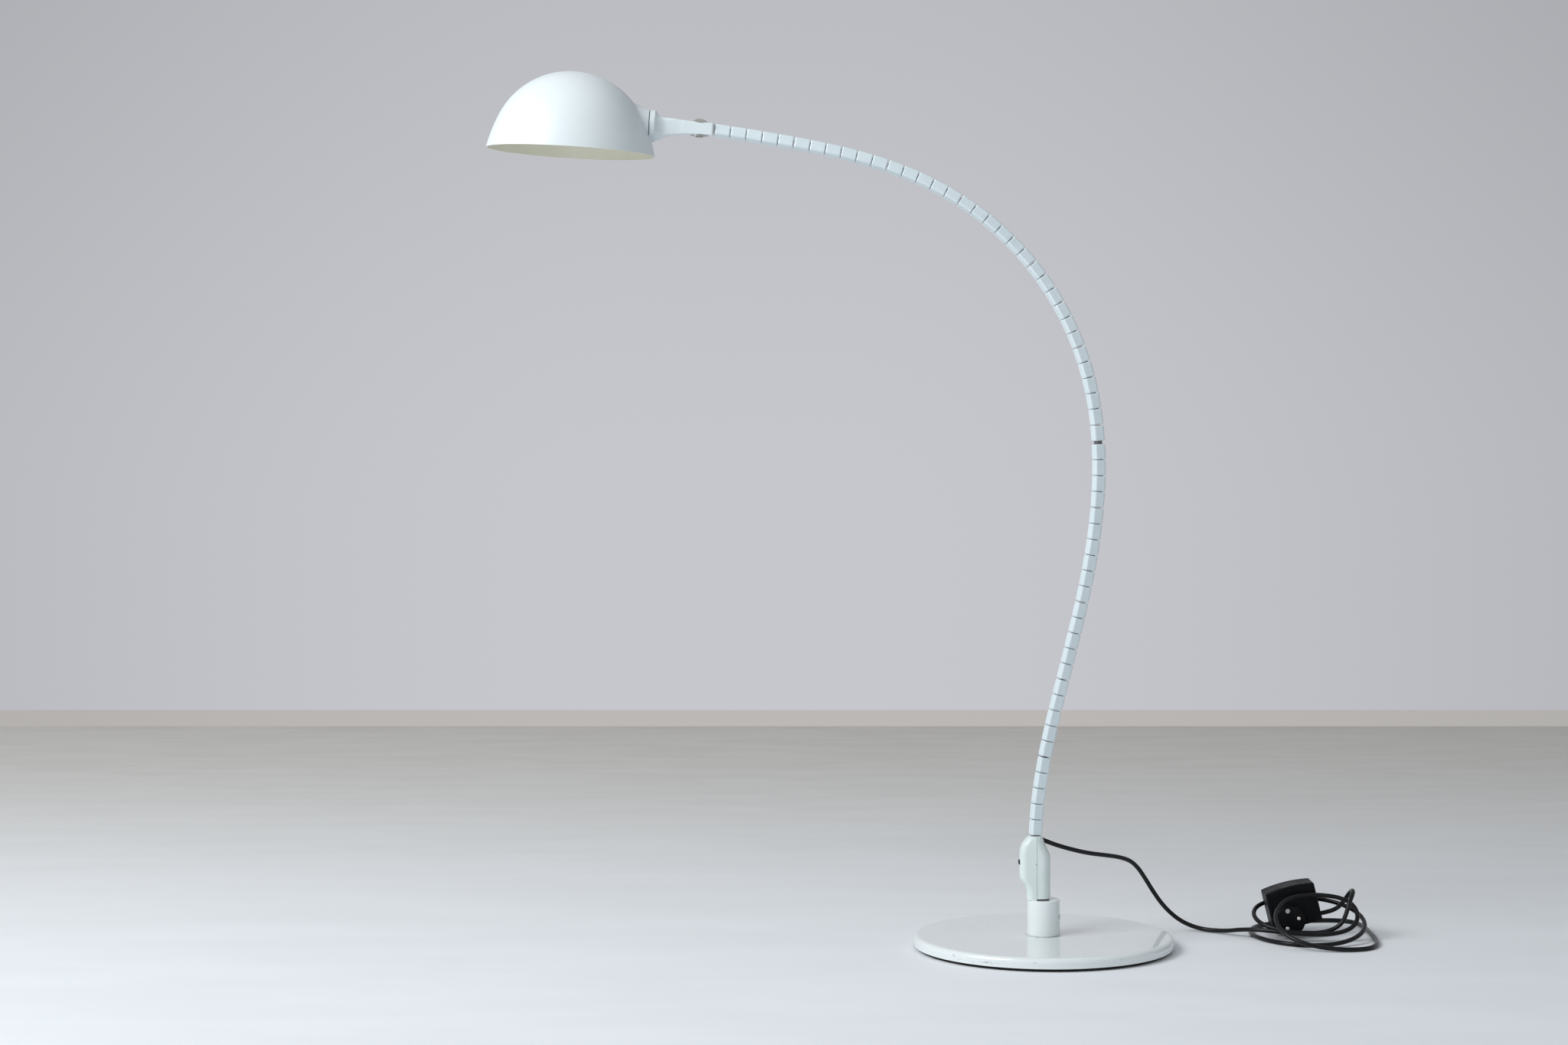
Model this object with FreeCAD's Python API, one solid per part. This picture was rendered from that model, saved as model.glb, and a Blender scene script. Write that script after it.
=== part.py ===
import FreeCAD, Part

# Gooseneck reading floor lamp.
#
# A heavy round base carries a short post. A two-part switch casing stands in the post, and a
# neck of square links threaded on a flexible core rises from it, bends over and ends in a
# pivot. A moulded bracket with a round flange hangs on the pivot and holds a dome shade with a
# twin-tube lamp. A black lead runs from the casing along the floor into a loose coil, where its
# plug-in adaptor lies.
#
# Millimetres. The origin is the centre of the base on the floor, +Z is up, +X is to the right
# and +Y is away from a person who faces the lamp. The neck bends over towards -X.

import math
import os

Vector = FreeCAD.Vector
UP = Vector(0, 0, 1)
RIGHT = Vector(1, 0, 0)
AWAY = Vector(0, 1, 0)
ORIGIN = Vector(0, 0, 0)

# ---- Fits shared by many pieces ----
slip_gap = 0.3              # between pieces that are assembled loosely
running_gap = 0.05          # on the radius of a turning pin

# ---- Base ----
base_radius = 163.0
base_top = 17.0             # height of the base's upper face
cover_wall = 2.0
cover_bottom = 4.0          # the cover's rim stands this far above the floor
cover_edge_radius = 6.0
weight_thickness = 9.5
foot_ring_inset = 6.0       # from the base's side to the foot ring's
foot_ring_width = 34.0
bolt_shank_radius = 4.0
bolt_head_radius = 6.5
bolt_head_height = 4.0
bolt_reach = 12.0           # length of the bolt inside the post
base_washer_radius = 11.0
base_washer_thickness = 1.6

# ---- Post ----
post_radius = 20.6
post_height = 45.0
post_edge = 0.9
post_floor = 16.0           # solid part of the post under its socket
set_screw_radius = 3.0
set_screw_length = 8.0
set_screw_hole_radius = 4.0
set_screw_hole_depth = 4.5
set_screw_height = 24.0     # above the base's upper face
set_screw_turn = -18.0      # degrees from +X, towards the front
hex_socket_across = 3.0
hex_socket_depth = 2.5

# ---- Switch casing ----
casing_height = 80.0
casing_left = -20.8
casing_right = 8.2
casing_bulge_left = -30.3
casing_top_left = -18.6
casing_top_right = -3.4
casing_half_depth = 13.5
casing_wall = 2.0
casing_left_corner = 8.0
casing_right_corner = 11.5
seam_x = -9.4               # the two shells meet in this plane
seam_gap = 0.3
rear_shell_lift = 1.8       # the rear shell ends this far above the post
foot_plate_thickness = 4.0
foot_plate_lift = 1.0
spigot_radius = 6.0
spigot_depth = 26.0

# ---- Switch ----
switch_height = 109.0       # height of the button above the floor
button_width = 12.0
button_height = 5.6
button_proud = 1.3
button_travel = 0.9
button_length = 6.0
switch_width = 22.0
switch_tall = 20.0
switch_deep = 9.0
terminal_level = 86.0
terminal_width = 16.0
terminal_tall = 12.0
terminal_deep = 10.0
terminal_inset = 2.5         # its edges meet the rounded corners of the rear shell

# ---- Casing screws ----
casing_screw_radius = 1.4
casing_screw_head_radius = 2.6
casing_screw_head_height = 1.8
casing_screw_length = 13.0
casing_screw_boss_radius = 3.4
casing_screw_levels = (79.0, 124.0)
casing_screw_y = 8.6

# ---- Neck ----
neck_x = -10.67             # where the neck leaves the casing
neck_start_angle = 88.47    # degrees from +X, at the casing
link_side = 14.0
link_corner = 2.5
link_edge = 1.6
link_length = 19.1
link_turn = 17.0            # each link is turned this far about the neck's own line
link_gap = 0.75
hinge_gap = 1.4             # gap where the neck is seen to hinge
open_gap = 4.3              # one gap stands open and shows the core
open_gap_before = 25        # number of the link above the open gap
links_in_body = (5, 5, 5, 6, 5, 5, 6, 6, 5, 6, 5)
# The neck's line is a chain of arcs: links in the arc, and degrees that the arc turns.
neck_pitch = 20.03
neck_arcs = (
    (3, -6.41),
    (3, -4.01),
    (3, -2.16),
    (5, 0.73),
    (4, 4.02),
    (4, 6.42),
    (4, 8.61),
    (4, 11.59),
    (14, 43.24),
    (4, 10.9),
    (4, 7.04),
    (7, 3.75),
)
core_radius = 5.0
core_bore_radius = 2.75
core_end_gap = 0.4          # from a hinge to the end of the core beside it
core_chamfer = 1.0
link_bore_gap = 0.35        # on the radius, between a link and the core
neck_socket_radius = 6.0
neck_socket_flange_radius = 8.6
neck_socket_flange_thickness = 2.5
neck_socket_flat = -4.6     # the flange is cut off here, beside the lead

# ---- Head: pivot, bracket and flange. Lengths along the arm are from the pivot. ----
arm_angle = 176.7           # degrees from +X, from the pivot to the shade
arm_back_reach = 17.6
arm_tip_gap = 1.6           # from the arm's end to the last link
arm_lift = 1.2              # the pivot stands this far above the neck's own line
arm_nose_radius = 3.0
arm_half_width = 10.0
arm_wall = 2.5
arm_floor_level = -5.0
arm_end_top = 7.2
arm_end_bottom = -7.8
arm_top_rise = -1.5         # the arm's top edge starts to rise here
arm_root = 45.0             # where the arm starts to flare into the flange
arm_root_top = 11.2
flange_radius = 19.8
flange_back = 55.4
flange_face = 62.0
gasket_thickness = 1.0
gasket_radius = 18.6
eye_radius = 7.2
eye_top = 7.0
eye_bottom = -4.7
tang_width = 7.0
tang_top = 6.0
ferrule_length = 15.0
pivot_screw_radius = 3.0
pivot_head_radius = 10.4
pivot_head_height = 5.2
pivot_head_level = 7.3
pivot_washer_radius = 10.8
pivot_washer_thickness = 1.0
pivot_nut_across = 8.0
pivot_nut_thickness = 1.8
channel_end = 52.0
head_lead_radius = 2.5
nipple_start = 57.5
nipple_radius = 5.0
nipple_bore_radius = 3.1
nipple_nut_across = 15.0
nipple_nut_thickness = 3.0

# Route of the lead in the arm, along the arm and up from its line.
head_lead_route = (
    (8.0, 1.0),
    (20.0, 5.2),
    (32.0, 8.4),
    (41.0, 8.2),
    (48.5, 4.2),
    (54.5, 0.9),
    (59.0, 0.0),
    (62.0, 0.0),
)

# ---- Shade ----
shade_rim_radius = 105.0
shade_radius = 100.0        # radius of the dome above its flared rim
shade_flare_start = 42.0    # height above the rim where the flare begins
shade_wall = 1.6
shade_centre = 158.9        # along the arm, from the pivot
shade_drop = 38.4           # from the arm's line down to the rim
collar_radius = 20.0
collar_end_radius = 34.0    # the collar widens to this inside the dome
collar_end = 95.0
shade_seat = 71.5           # flat seat inside the shade for the nut

# ---- Lamp ----
holder_length = 20.0
holder_width = 32.0
holder_tall = 24.0
lamp_base_length = 16.0
lamp_base_width = 30.0
lamp_base_tall = 17.0
tube_radius = 6.0
tube_spacing = 13.6
tube_length = 112.0
tube_bridge_back = 9.0

# ---- Lead ----
cord_radius = 2.85
cord_hole_gap = 0.4
cord_start = Vector(-2.2, 0, 137.3)     # just inside the casing's wall

# Route of the lead from the casing to its coil, point by point.
cord_route = (
    (1.0, 0.0, 136.0),
    (17.0, 4.0, 129.4),
    (38.0, 12.0, 122.5),
    (59.0, 24.0, 116.3),
    (80.0, 38.0, 111.9),
    (100.0, 54.0, 107.1),
    (116.0, 67.0, 100.6),
    (127.5, 77.5, 89.8),
    (138.0, 87.0, 74.0),
    (148.5, 97.0, 57.2),
    (160.0, 106.0, 40.4),
    (173.0, 113.0, 25.8),
    (187.0, 118.0, 14.4),
    (202.0, 119.5, 6.9),
    (217.0, 115.0, 3.3),
    (232.0, 105.0, 3.4),
    (246.0, 91.0, 5.6),
    (258.0, 76.0, 9.8),
)

# ---- Loose coil. Each turn is given by its front and back quarters and by how far it reaches
# to each side. Between them the lead climbs and falls evenly. ----
coil_turns = (
    # front x, y and z, right x, back x, y and z, left x
    (350.0, 36.0, 10.2, 406.0, 344.0, 69.5, 56.0, 295.0),
    (380.0, -30.0, 3.05, 428.0, 396.0, 186.0, 3.05, 273.0),
    (346.0, 0.0, 3.05, 417.0, 346.0, 133.0, 42.0, 277.0),
)
# The end of the lead passes the front once more, stands up in a narrow loop and comes down to
# the adaptor. Each row has a point and the direction there.
coil_end = (
    ((345.0, 45.5, 10.5), (1.0, 0.0, 0.0)),
    ((389.0, 44.0, 36.0), (0.15, 0.1, 1.0)),
    ((401.0, 66.0, 62.0), (0.0, 1.0, 0.0)),
    ((390.0, 88.0, 40.0), (-0.62, 0.12, -0.78)),
)

# ---- Plug-in adaptor ----
adaptor_x = 327.9
adaptor_y = 76.0            # its front face
adaptor_z = 38.3            # middle of its front face
adaptor_lean = 14.0         # degrees, anticlockwise as seen from the front
adaptor_width = 64.0
adaptor_tall = 50.0
adaptor_deep = 40.0
adaptor_wall = 2.2
adaptor_split = 22.0        # depth of the front shell
boss_plinth = 2.2           # the boss runs this far into the front wall
adaptor_corner = 6.0
adaptor_crown = 3.0
boss_radius = 18.8
boss_proud = 18.0
boss_x = -10.3              # middle of the boss from the middle of the front face
boss_z = -12.2
pin_radius = 2.4
pin_length = 19.0
pin_spacing = 19.0
pin_turn = 28.0             # degrees, from the adaptor's width to the line through both pins
adaptor_screw_turn = 93.5
adaptor_screw_offset = 13.0
adaptor_screw_radius = 1.6
adaptor_screw_head_radius = 2.9
inlet_depth = 20.0          # where the lead enters the adaptor's right side
inlet_level = -19.5
winding_gap = 1.0


# ---- Helpers ----

def export(name, shape):
    """Write one sub-part and say how many solids and faces it has."""
    shape.exportStep("parts/" + name + ".step")
    print(f"{name:22s} solids {len(shape.Solids):3d} faces {len(shape.Faces):5d}"
          f" volume {shape.Volume:12.1f} valid {shape.isValid()}")


def cylinder(radius, start, end):
    direction = end - start
    return Part.makeCylinder(radius, direction.Length, start, direction)


def block(x_low, x_high, y_low, y_high, z_low, z_high):
    size = Vector(x_high - x_low, y_high - y_low, z_high - z_low)
    return Part.makeBox(size.x, size.y, size.z, Vector(x_low, y_low, z_low))


def hexagon(across, start, direction, length):
    """A hexagonal prism, by the distance across its flats."""
    circle = across / math.sqrt(3)
    corners = [
        Vector(circle * math.cos(math.radians(60 * i)), circle * math.sin(math.radians(60 * i)), 0)
        for i in range(7)
    ]
    prism = Part.Face(Part.makePolygon(corners)).extrude(Vector(0, 0, length))
    prism.Placement = FreeCAD.Placement(start, FreeCAD.Rotation(UP, direction))
    return prism


def revolve_profile(edges, centre=ORIGIN, axis=UP):
    face = Part.Face(Part.Wire(edges))
    return face.revolve(centre, axis, 360)


def line(start, end):
    return Part.LineSegment(start, end).toShape()


def arc(start, middle, end):
    return Part.Arc(start, middle, end).toShape()


def rounded_rectangle(x_low, x_high, half_depth, left_radius, right_radius, z):
    """A closed wire in a level plane, with its own corner radius at each side."""
    left = min(left_radius, half_depth - 0.4)
    right = min(right_radius, half_depth - 0.4)
    bend = 1 - math.sqrt(0.5)
    y = half_depth

    def corner(x, side, front, radius):
        """The middle of a corner's arc."""
        return Vector(x - side * radius * bend, front * (y - radius * bend), z)

    points = (
        (Vector(x_low + left, -y, z), Vector(x_high - right, -y, z)),
        (Vector(x_high, -y + right, z), Vector(x_high, y - right, z)),
        (Vector(x_high - right, y, z), Vector(x_low + left, y, z)),
        (Vector(x_low, y - left, z), Vector(x_low, -y + left, z)),
    )
    corners = (
        corner(x_high, 1, -1, right),
        corner(x_high, 1, 1, right),
        corner(x_low, -1, 1, left),
        corner(x_low, -1, -1, left),
    )
    edges = []
    for i in range(4):
        edges.append(line(*points[i]))
        edges.append(arc(points[i][1], corners[i], points[(i + 1) % 4][0]))
    return Part.Wire(edges)


def fuse_all(shapes):
    shapes = list(shapes)
    return shapes[0].fuse(shapes[1:]).removeSplitter() if len(shapes) > 1 else shapes[0]


# ---- Neck line ----

casing_top = base_top + post_height + casing_height


def neck_at(length):
    """Point and direction, in degrees from +X, at a length along the neck from the casing."""
    x, z, angle = neck_x, casing_top, math.radians(neck_start_angle)
    for links, degrees in neck_arcs:
        reach = links * neck_pitch
        bend = math.radians(degrees) / reach
        step = min(reach, length)
        x += (math.sin(angle + bend * step) - math.sin(angle)) / bend
        z -= (math.cos(angle + bend * step) - math.cos(angle)) / bend
        angle += bend * step
        length -= step
        if length <= 0:
            break
    x += max(length, 0) * math.cos(angle)
    z += max(length, 0) * math.sin(angle)
    return Vector(x, 0, z), math.degrees(angle)


def neck_frame(length):
    """Placement whose +Z runs along the neck and whose +Y stays level."""
    point, angle = neck_at(length)
    return FreeCAD.Placement(point, FreeCAD.Rotation(AWAY, 90 - angle))


def link_layout():
    """Middle of each link along the neck, and the length along the neck of each hinge."""
    first_links = [sum(links_in_body[:i]) for i in range(len(links_in_body))]
    middles, hinges, length = [], [], 0.0
    for number in range(sum(links_in_body)):
        gap = link_gap
        if number == open_gap_before:
            gap = open_gap
        if number in first_links:
            gap = hinge_gap
            hinges.append(length + gap / 2)
        length += gap + link_length / 2
        middles.append(length)
        length += link_length / 2
    return middles, hinges, length


link_middles, hinge_lengths, neck_length = link_layout()
neck_end, neck_end_angle = neck_at(neck_length)
arm_direction = Vector(math.cos(math.radians(arm_angle)), 0, math.sin(math.radians(arm_angle)))
arm_up = Vector(math.sin(math.radians(arm_angle)), 0, -math.cos(math.radians(arm_angle)))
pivot = neck_end + arm_direction * (arm_tip_gap + arm_back_reach) + arm_up * arm_lift
head_frame = FreeCAD.Placement(pivot, FreeCAD.Rotation(arm_direction, ORIGIN, arm_up, "ZXY"))


def in_head(shape):
    """Move a shape from the head's own frame (+X to the shade, +Z up) to its place."""
    moved = shape.copy()
    moved.Placement = head_frame.multiply(moved.Placement)
    return moved


# ---- Base ----

def make_base_cover():
    inner = base_radius - cover_wall
    edge = cover_edge_radius
    bend = edge * (1 - math.sqrt(0.5))
    inner_edge = edge - cover_wall
    inner_bend = inner_edge * (1 - math.sqrt(0.5))
    roof = base_top - cover_wall
    edges = [
        line(Vector(0, 0, roof), Vector(0, 0, base_top)),
        line(Vector(0, 0, base_top), Vector(base_radius - edge, 0, base_top)),
        arc(
            Vector(base_radius - edge, 0, base_top),
            Vector(base_radius - bend, 0, base_top - bend),
            Vector(base_radius, 0, base_top - edge),
        ),
        line(Vector(base_radius, 0, base_top - edge), Vector(base_radius - 0.8, 0, cover_bottom)),
        line(Vector(base_radius - 0.8, 0, cover_bottom), Vector(inner - 0.8, 0, cover_bottom)),
        line(Vector(inner - 0.8, 0, cover_bottom), Vector(inner, 0, roof - inner_edge)),
        arc(
            Vector(inner, 0, roof - inner_edge),
            Vector(inner - inner_bend, 0, roof - inner_bend),
            Vector(inner - inner_edge, 0, roof),
        ),
        line(Vector(inner - inner_edge, 0, roof), Vector(0, 0, roof)),
    ]
    cover = revolve_profile(edges)
    hole = cylinder(bolt_shank_radius + slip_gap, Vector(0, 0, 0), Vector(0, 0, base_top + 1))
    return cover.cut(hole)


def make_base_weight():
    radius = base_radius - cover_edge_radius - 1.0
    roof = base_top - cover_wall
    weight = cylinder(radius, Vector(0, 0, roof - weight_thickness), Vector(0, 0, roof))
    rim = [edge for edge in weight.Edges if abs(edge.BoundBox.ZMin - edge.BoundBox.ZMax) < 1e-6]
    weight = weight.makeChamfer(1.0, rim)
    hole = cylinder(bolt_shank_radius + slip_gap, Vector(0, 0, 0), Vector(0, 0, base_top))
    return weight.cut(hole)


def make_foot_ring():
    top = base_top - cover_wall - weight_thickness
    radius = base_radius - foot_ring_inset
    outer = cylinder(radius, Vector(0, 0, 0), Vector(0, 0, top))
    inner = cylinder(radius - foot_ring_width, Vector(0, 0, -1), Vector(0, 0, top + 1))
    ring = outer.cut(inner)
    floor_edges = [edge for edge in ring.Edges if edge.BoundBox.ZMax < 1e-6]
    return ring.makeFillet(1.0, floor_edges)


def make_base_washer():
    top = base_top - cover_wall - weight_thickness
    disc = cylinder(base_washer_radius, Vector(0, 0, top - base_washer_thickness), Vector(0, 0, top))
    hole = cylinder(bolt_shank_radius + slip_gap, Vector(0, 0, 0), Vector(0, 0, top + 1))
    return disc.cut(hole)


def make_base_bolt():
    """Bolt from beneath, with a hexagon socket, that holds the post on the base."""
    seat = base_top - cover_wall - weight_thickness - base_washer_thickness
    head_low = seat - min(bolt_head_height, seat - 1.0)
    head = cylinder(bolt_head_radius, Vector(0, 0, head_low), Vector(0, 0, seat))
    shank = cylinder(bolt_shank_radius, Vector(0, 0, seat), Vector(0, 0, base_top + bolt_reach))
    socket = hexagon(bolt_shank_radius, Vector(0, 0, head_low - 1), UP, 1 + (seat - head_low) / 2)
    return head.fuse(shank).removeSplitter().cut(socket)


# ---- Post ----

def set_screw_line():
    """Direction from the post's axis out through the set screw."""
    turn = math.radians(set_screw_turn)
    return Vector(math.cos(turn), math.sin(turn), 0)


def make_post():
    top = base_top + post_height
    post = cylinder(post_radius, Vector(0, 0, base_top), Vector(0, 0, top))
    rims = [edge for edge in post.Edges if abs(edge.BoundBox.ZMin - edge.BoundBox.ZMax) < 1e-6]
    post = post.makeChamfer(post_edge, rims)
    bolt_hole = cylinder(bolt_shank_radius, Vector(0, 0, base_top - 1), Vector(0, 0, base_top + bolt_reach))
    socket = cylinder(spigot_radius + running_gap, Vector(0, 0, base_top + post_floor), Vector(0, 0, top + 1))
    out = set_screw_line()
    level = Vector(0, 0, base_top + set_screw_height)
    thread = cylinder(set_screw_radius, level, level + out * post_radius)
    mouth_start = level + out * (post_radius - set_screw_hole_depth)
    mouth = cylinder(set_screw_hole_radius, mouth_start, level + out * (post_radius + 1))
    return post.cut([bolt_hole, socket, thread, mouth])


def make_set_screw():
    out = set_screw_line()
    level = Vector(0, 0, base_top + set_screw_height)
    start = level + out * spigot_radius
    screw = cylinder(set_screw_radius, start, start + out * set_screw_length)
    socket_start = start + out * (set_screw_length - hex_socket_depth)
    return screw.cut(hexagon(hex_socket_across, socket_start, out, hex_socket_depth + 1))


# ---- Switch casing ----

casing_foot = base_top + post_height


def casing_sections():
    """Level sections of the casing's outside: height, left, right and half depth."""
    left, right, bulge = casing_left, casing_right, casing_bulge_left
    deep = casing_half_depth
    return (
        (0.0, left, right, deep),
        (3.5, left, right, deep),
        (7.0, left - 0.1, right, deep),
        (10.5, left - 0.6, right, deep),
        (15.0, left - 1.8, right, deep),
        (20.0, left - 4.4, right, deep),
        (25.5, left - 7.9, right, deep),
        (30.0, bulge + 0.3, right, deep),
        (36.0, bulge, right, deep),
        (45.0, bulge, right, deep),
        (53.0, bulge, right - 0.2, deep),
        (58.0, bulge + 0.1, right - 1.2, deep),
        (62.5, bulge + 0.5, right - 3.4, deep - 0.1),
        (67.0, bulge + 1.7, right - 5.4, deep - 0.4),
        (71.5, bulge + 3.9, right - 7.1, deep - 0.9),
        (75.5, bulge + 6.8, right - 8.7, deep - 1.8),
        (78.5, bulge + 9.6, right - 10.2, deep - 2.9),
        (casing_height, casing_top_left, casing_top_right, deep - 4.2),
    )


def casing_solid(inset):
    """The casing's outer form, or its hollow when an inset is given."""
    wires = []
    for height, left, right, deep in casing_sections():
        level = height
        if inset and height == 0.0:
            level = inset
        if inset and height == casing_height:
            level = casing_height - inset
        wires.append(
            rounded_rectangle(
                left + inset,
                right - inset,
                deep - inset,
                min(casing_left_corner, (right - left) * 0.46) - inset,
                min(casing_right_corner, (right - left) * 0.46) - inset,
                casing_foot + level,
            )
        )
    return Part.makeLoft(wires, True, False)


def cord_exit_direction():
    return (Vector(*cord_route[0]) - cord_start).normalize()


def casing_screw_places():
    return [Vector(seam_x, casing_screw_y, level) for level in casing_screw_levels]


def casing_openings():
    """Holes through the casing for the neck, the spigot, the lead and the button."""
    big = 60.0
    neck_hole = cylinder(
        neck_socket_radius,
        Vector(neck_x, 0, casing_top - big / 2),
        Vector(neck_x, 0, casing_top + 1),
    )
    inner = cord_start - cord_exit_direction() * 2
    lead_hole = cylinder(cord_radius + cord_hole_gap, inner, inner + cord_exit_direction() * big)
    button_hole = button_prism(slip_gap, big / 2)
    spigot_hole = cylinder(spigot_radius + slip_gap, Vector(0, 0, casing_foot - 1), Vector(0, 0, casing_foot + 8))
    return neck_hole, lead_hole, button_hole, spigot_hole


def make_casing(front):
    """One shell of the casing: the front one with the button, or the rear one with the lead."""
    outside = casing_solid(0.0)
    hollow = casing_solid(casing_wall)
    neck_hole, lead_hole, button_hole, spigot_hole = casing_openings()
    shell = outside.cut(hollow)
    reach = 100.0
    if front:
        keep = block(-reach, seam_x - seam_gap / 2, -reach, reach, casing_foot, casing_top)
        bosses = [
            cylinder(casing_screw_boss_radius, place - RIGHT * 9, place - RIGHT * seam_gap / 2)
            for place in casing_screw_places()
        ]
        pilot = [
            cylinder(casing_screw_radius, place - RIGHT * 8, place)
            for place in casing_screw_places()
        ]
    else:
        low = casing_foot + rear_shell_lift
        keep = block(seam_x + seam_gap / 2, reach, -reach, reach, low, casing_top)
        bosses = [
            cylinder(casing_screw_boss_radius, place + RIGHT * seam_gap / 2, place + RIGHT * 30)
            for place in casing_screw_places()
        ]
        pilot = [
            cylinder(casing_screw_radius + slip_gap, place, place + RIGHT * 40)
            for place in casing_screw_places()
        ]
        pilot += [
            cylinder(casing_screw_head_radius + slip_gap, place + RIGHT * 4.2, place + RIGHT * 40)
            for place in casing_screw_places()
        ]
    bosses = [boss.common(outside) for boss in bosses]
    shell = shell.common(keep)
    shell = shell.fuse(bosses).removeSplitter()
    shell = shell.cut(pilot + [neck_hole, lead_hole, button_hole, spigot_hole])
    plate_room = foot_plate(slip_gap)
    shell = shell.cut(plate_room)
    return biggest_solid(shell)


def biggest_solid(shape):
    return max(shape.Solids, key=lambda solid: solid.Volume)


def foot_plate(gap):
    """The spigot's plate, which both shells grip, with a gap round it when one is given."""
    low = casing_foot + foot_plate_lift - gap
    high = casing_foot + foot_plate_lift + foot_plate_thickness + gap
    wire = rounded_rectangle(
        casing_left + casing_wall / 2 - gap,
        casing_right - casing_wall / 2 + gap,
        casing_half_depth - casing_wall / 2 + gap,
        casing_left_corner - casing_wall / 2,
        casing_right_corner - casing_wall / 2,
        low,
    )
    return Part.Face(wire).extrude(Vector(0, 0, high - low))


def make_spigot():
    """Black foot of the casing: a plate between the shells and a pin down into the post."""
    plate = foot_plate(0.0)
    pin_low = casing_foot - spigot_depth
    pin = cylinder(spigot_radius, Vector(0, 0, pin_low), Vector(0, 0, casing_foot + foot_plate_lift + 1))
    foot_edge = [edge for edge in pin.Edges if edge.BoundBox.ZMax < pin_low + 1e-6]
    return plate.fuse(pin.makeChamfer(0.8, foot_edge)).removeSplitter()


def make_casing_screws():
    screws = []
    for place in casing_screw_places():
        seat = place + RIGHT * 4.2
        shank = cylinder(casing_screw_radius, seat - RIGHT * (casing_screw_length - 1.5), seat)
        head = cylinder(casing_screw_head_radius, seat, seat + RIGHT * casing_screw_head_height)
        slot = block(
            seat.x + casing_screw_head_height - 0.7, seat.x + casing_screw_head_height + 1,
            place.y - 3, place.y + 3, place.z - 0.35, place.z + 0.35,
        )
        screws.append(shank.fuse(head).removeSplitter().cut(slot))
    return Part.makeCompound(screws)


def button_prism(gap, length):
    """The button's outline run along X from its outer face, inwards."""
    half_height = button_height / 2 + gap
    half_flat = button_width / 2 + gap - half_height
    x = casing_bulge_left - button_proud
    z = switch_height
    edges = [
        line(Vector(x, -half_flat, z - half_height), Vector(x, half_flat, z - half_height)),
        arc(
            Vector(x, half_flat, z - half_height),
            Vector(x, half_flat + half_height, z),
            Vector(x, half_flat, z + half_height),
        ),
        line(Vector(x, half_flat, z + half_height), Vector(x, -half_flat, z + half_height)),
        arc(
            Vector(x, -half_flat, z + half_height),
            Vector(x, -half_flat - half_height, z),
            Vector(x, -half_flat, z - half_height),
        ),
    ]
    prism = Part.Face(Part.Wire(edges)).extrude(RIGHT * length)
    if gap:
        reach = 4.0
        edges_out = Part.Face(Part.Wire(edges)).extrude(RIGHT * -reach)
        prism = prism.fuse(edges_out)
        return prism.common(block(x - reach, seam_x - 3, -20, 20, z - 20, z + 20))
    return prism


def make_button():
    key = button_prism(0.0, button_length)
    x = casing_bulge_left - button_proud
    face_edges = [edge for edge in key.Edges if edge.BoundBox.XMax < x + 1e-6]
    return key.makeFillet(0.7, face_edges)


def make_switch_body():
    """The switch itself, behind its button, with two solder tags."""
    front = casing_bulge_left - button_proud + button_length + button_travel + slip_gap
    body = block(
        front, front + switch_deep,
        -switch_width / 2, switch_width / 2,
        switch_height - switch_tall / 2, switch_height + switch_tall / 2,
    )
    body = body.makeFillet(0.8, body.Edges)
    tags = [
        block(front + switch_deep - 1, front + switch_deep + 1.8, side * 4 - 1.2, side * 4 + 1.2,
              switch_height - 4, switch_height - 3.4)
        for side in (-1, 1)
    ]
    return body.fuse(tags).removeSplitter()


def make_neck_socket():
    """Steel bush that the shells hold round the bottom of the neck."""
    top = casing_top
    axis = Vector(neck_x, 0, 0)
    flange_top = top - casing_wall - slip_gap / 2
    flange_low = flange_top - neck_socket_flange_thickness
    body = cylinder(neck_socket_radius - slip_gap / 2, axis + UP * flange_low, axis + UP * top)
    flange = cylinder(neck_socket_flange_radius, axis + UP * flange_low, axis + UP * flange_top)
    flange = flange.common(block(-60, neck_socket_flat, -60, 60, 0, 200))
    flange = flange.common(casing_solid(casing_wall + slip_gap / 2))
    bore = cylinder(core_bore_radius, axis + UP * (top - 60), axis + UP * (top + 5))
    pin = cylinder(core_radius, axis + UP * (top - 1), axis + UP * (top + hinge_gap / 2 - core_end_gap))
    return body.fuse([flange, pin]).removeSplitter().cut(bore)


def make_terminal_block():
    """Two-way connector on the rear shell's wall, where the lead meets the switch."""
    wall = casing_right - casing_wall - terminal_inset
    low = terminal_level
    body = block(wall - terminal_deep, wall, -terminal_width / 2, terminal_width / 2, low, low + terminal_tall)
    body = body.makeFillet(0.8, body.Edges)
    ways = []
    for side in (-1, 1):
        y = side * terminal_width / 4
        x = wall - terminal_deep / 2
        ways.append(cylinder(1.5, Vector(x, y, low - 1), Vector(x, y, low + terminal_tall + 1)))
        for level in (0.28, 0.72):
            z = low + terminal_tall * level
            ways.append(cylinder(1.3, Vector(wall - terminal_deep - 1, y, z), Vector(x, y, z)))
    return body.cut(ways)


# ---- Neck ----

def make_one_link():
    """A square link with rounded corners and ends and a hole for the core, centred on +Z."""
    half = link_side / 2
    body = block(-half, half, -half, half, -link_length / 2, link_length / 2)
    uprights = [edge for edge in body.Edges if edge.BoundBox.ZLength > link_length / 2]
    body = body.makeFillet(link_corner, uprights)
    rims = [edge for edge in body.Edges if edge.BoundBox.ZLength < 1e-6]
    body = body.makeFillet(link_edge, rims)
    hole = cylinder(core_radius + link_bore_gap, Vector(0, 0, -link_length), Vector(0, 0, link_length))
    body = body.cut(hole)
    body.rotate(ORIGIN, UP, link_turn)
    return body


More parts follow.
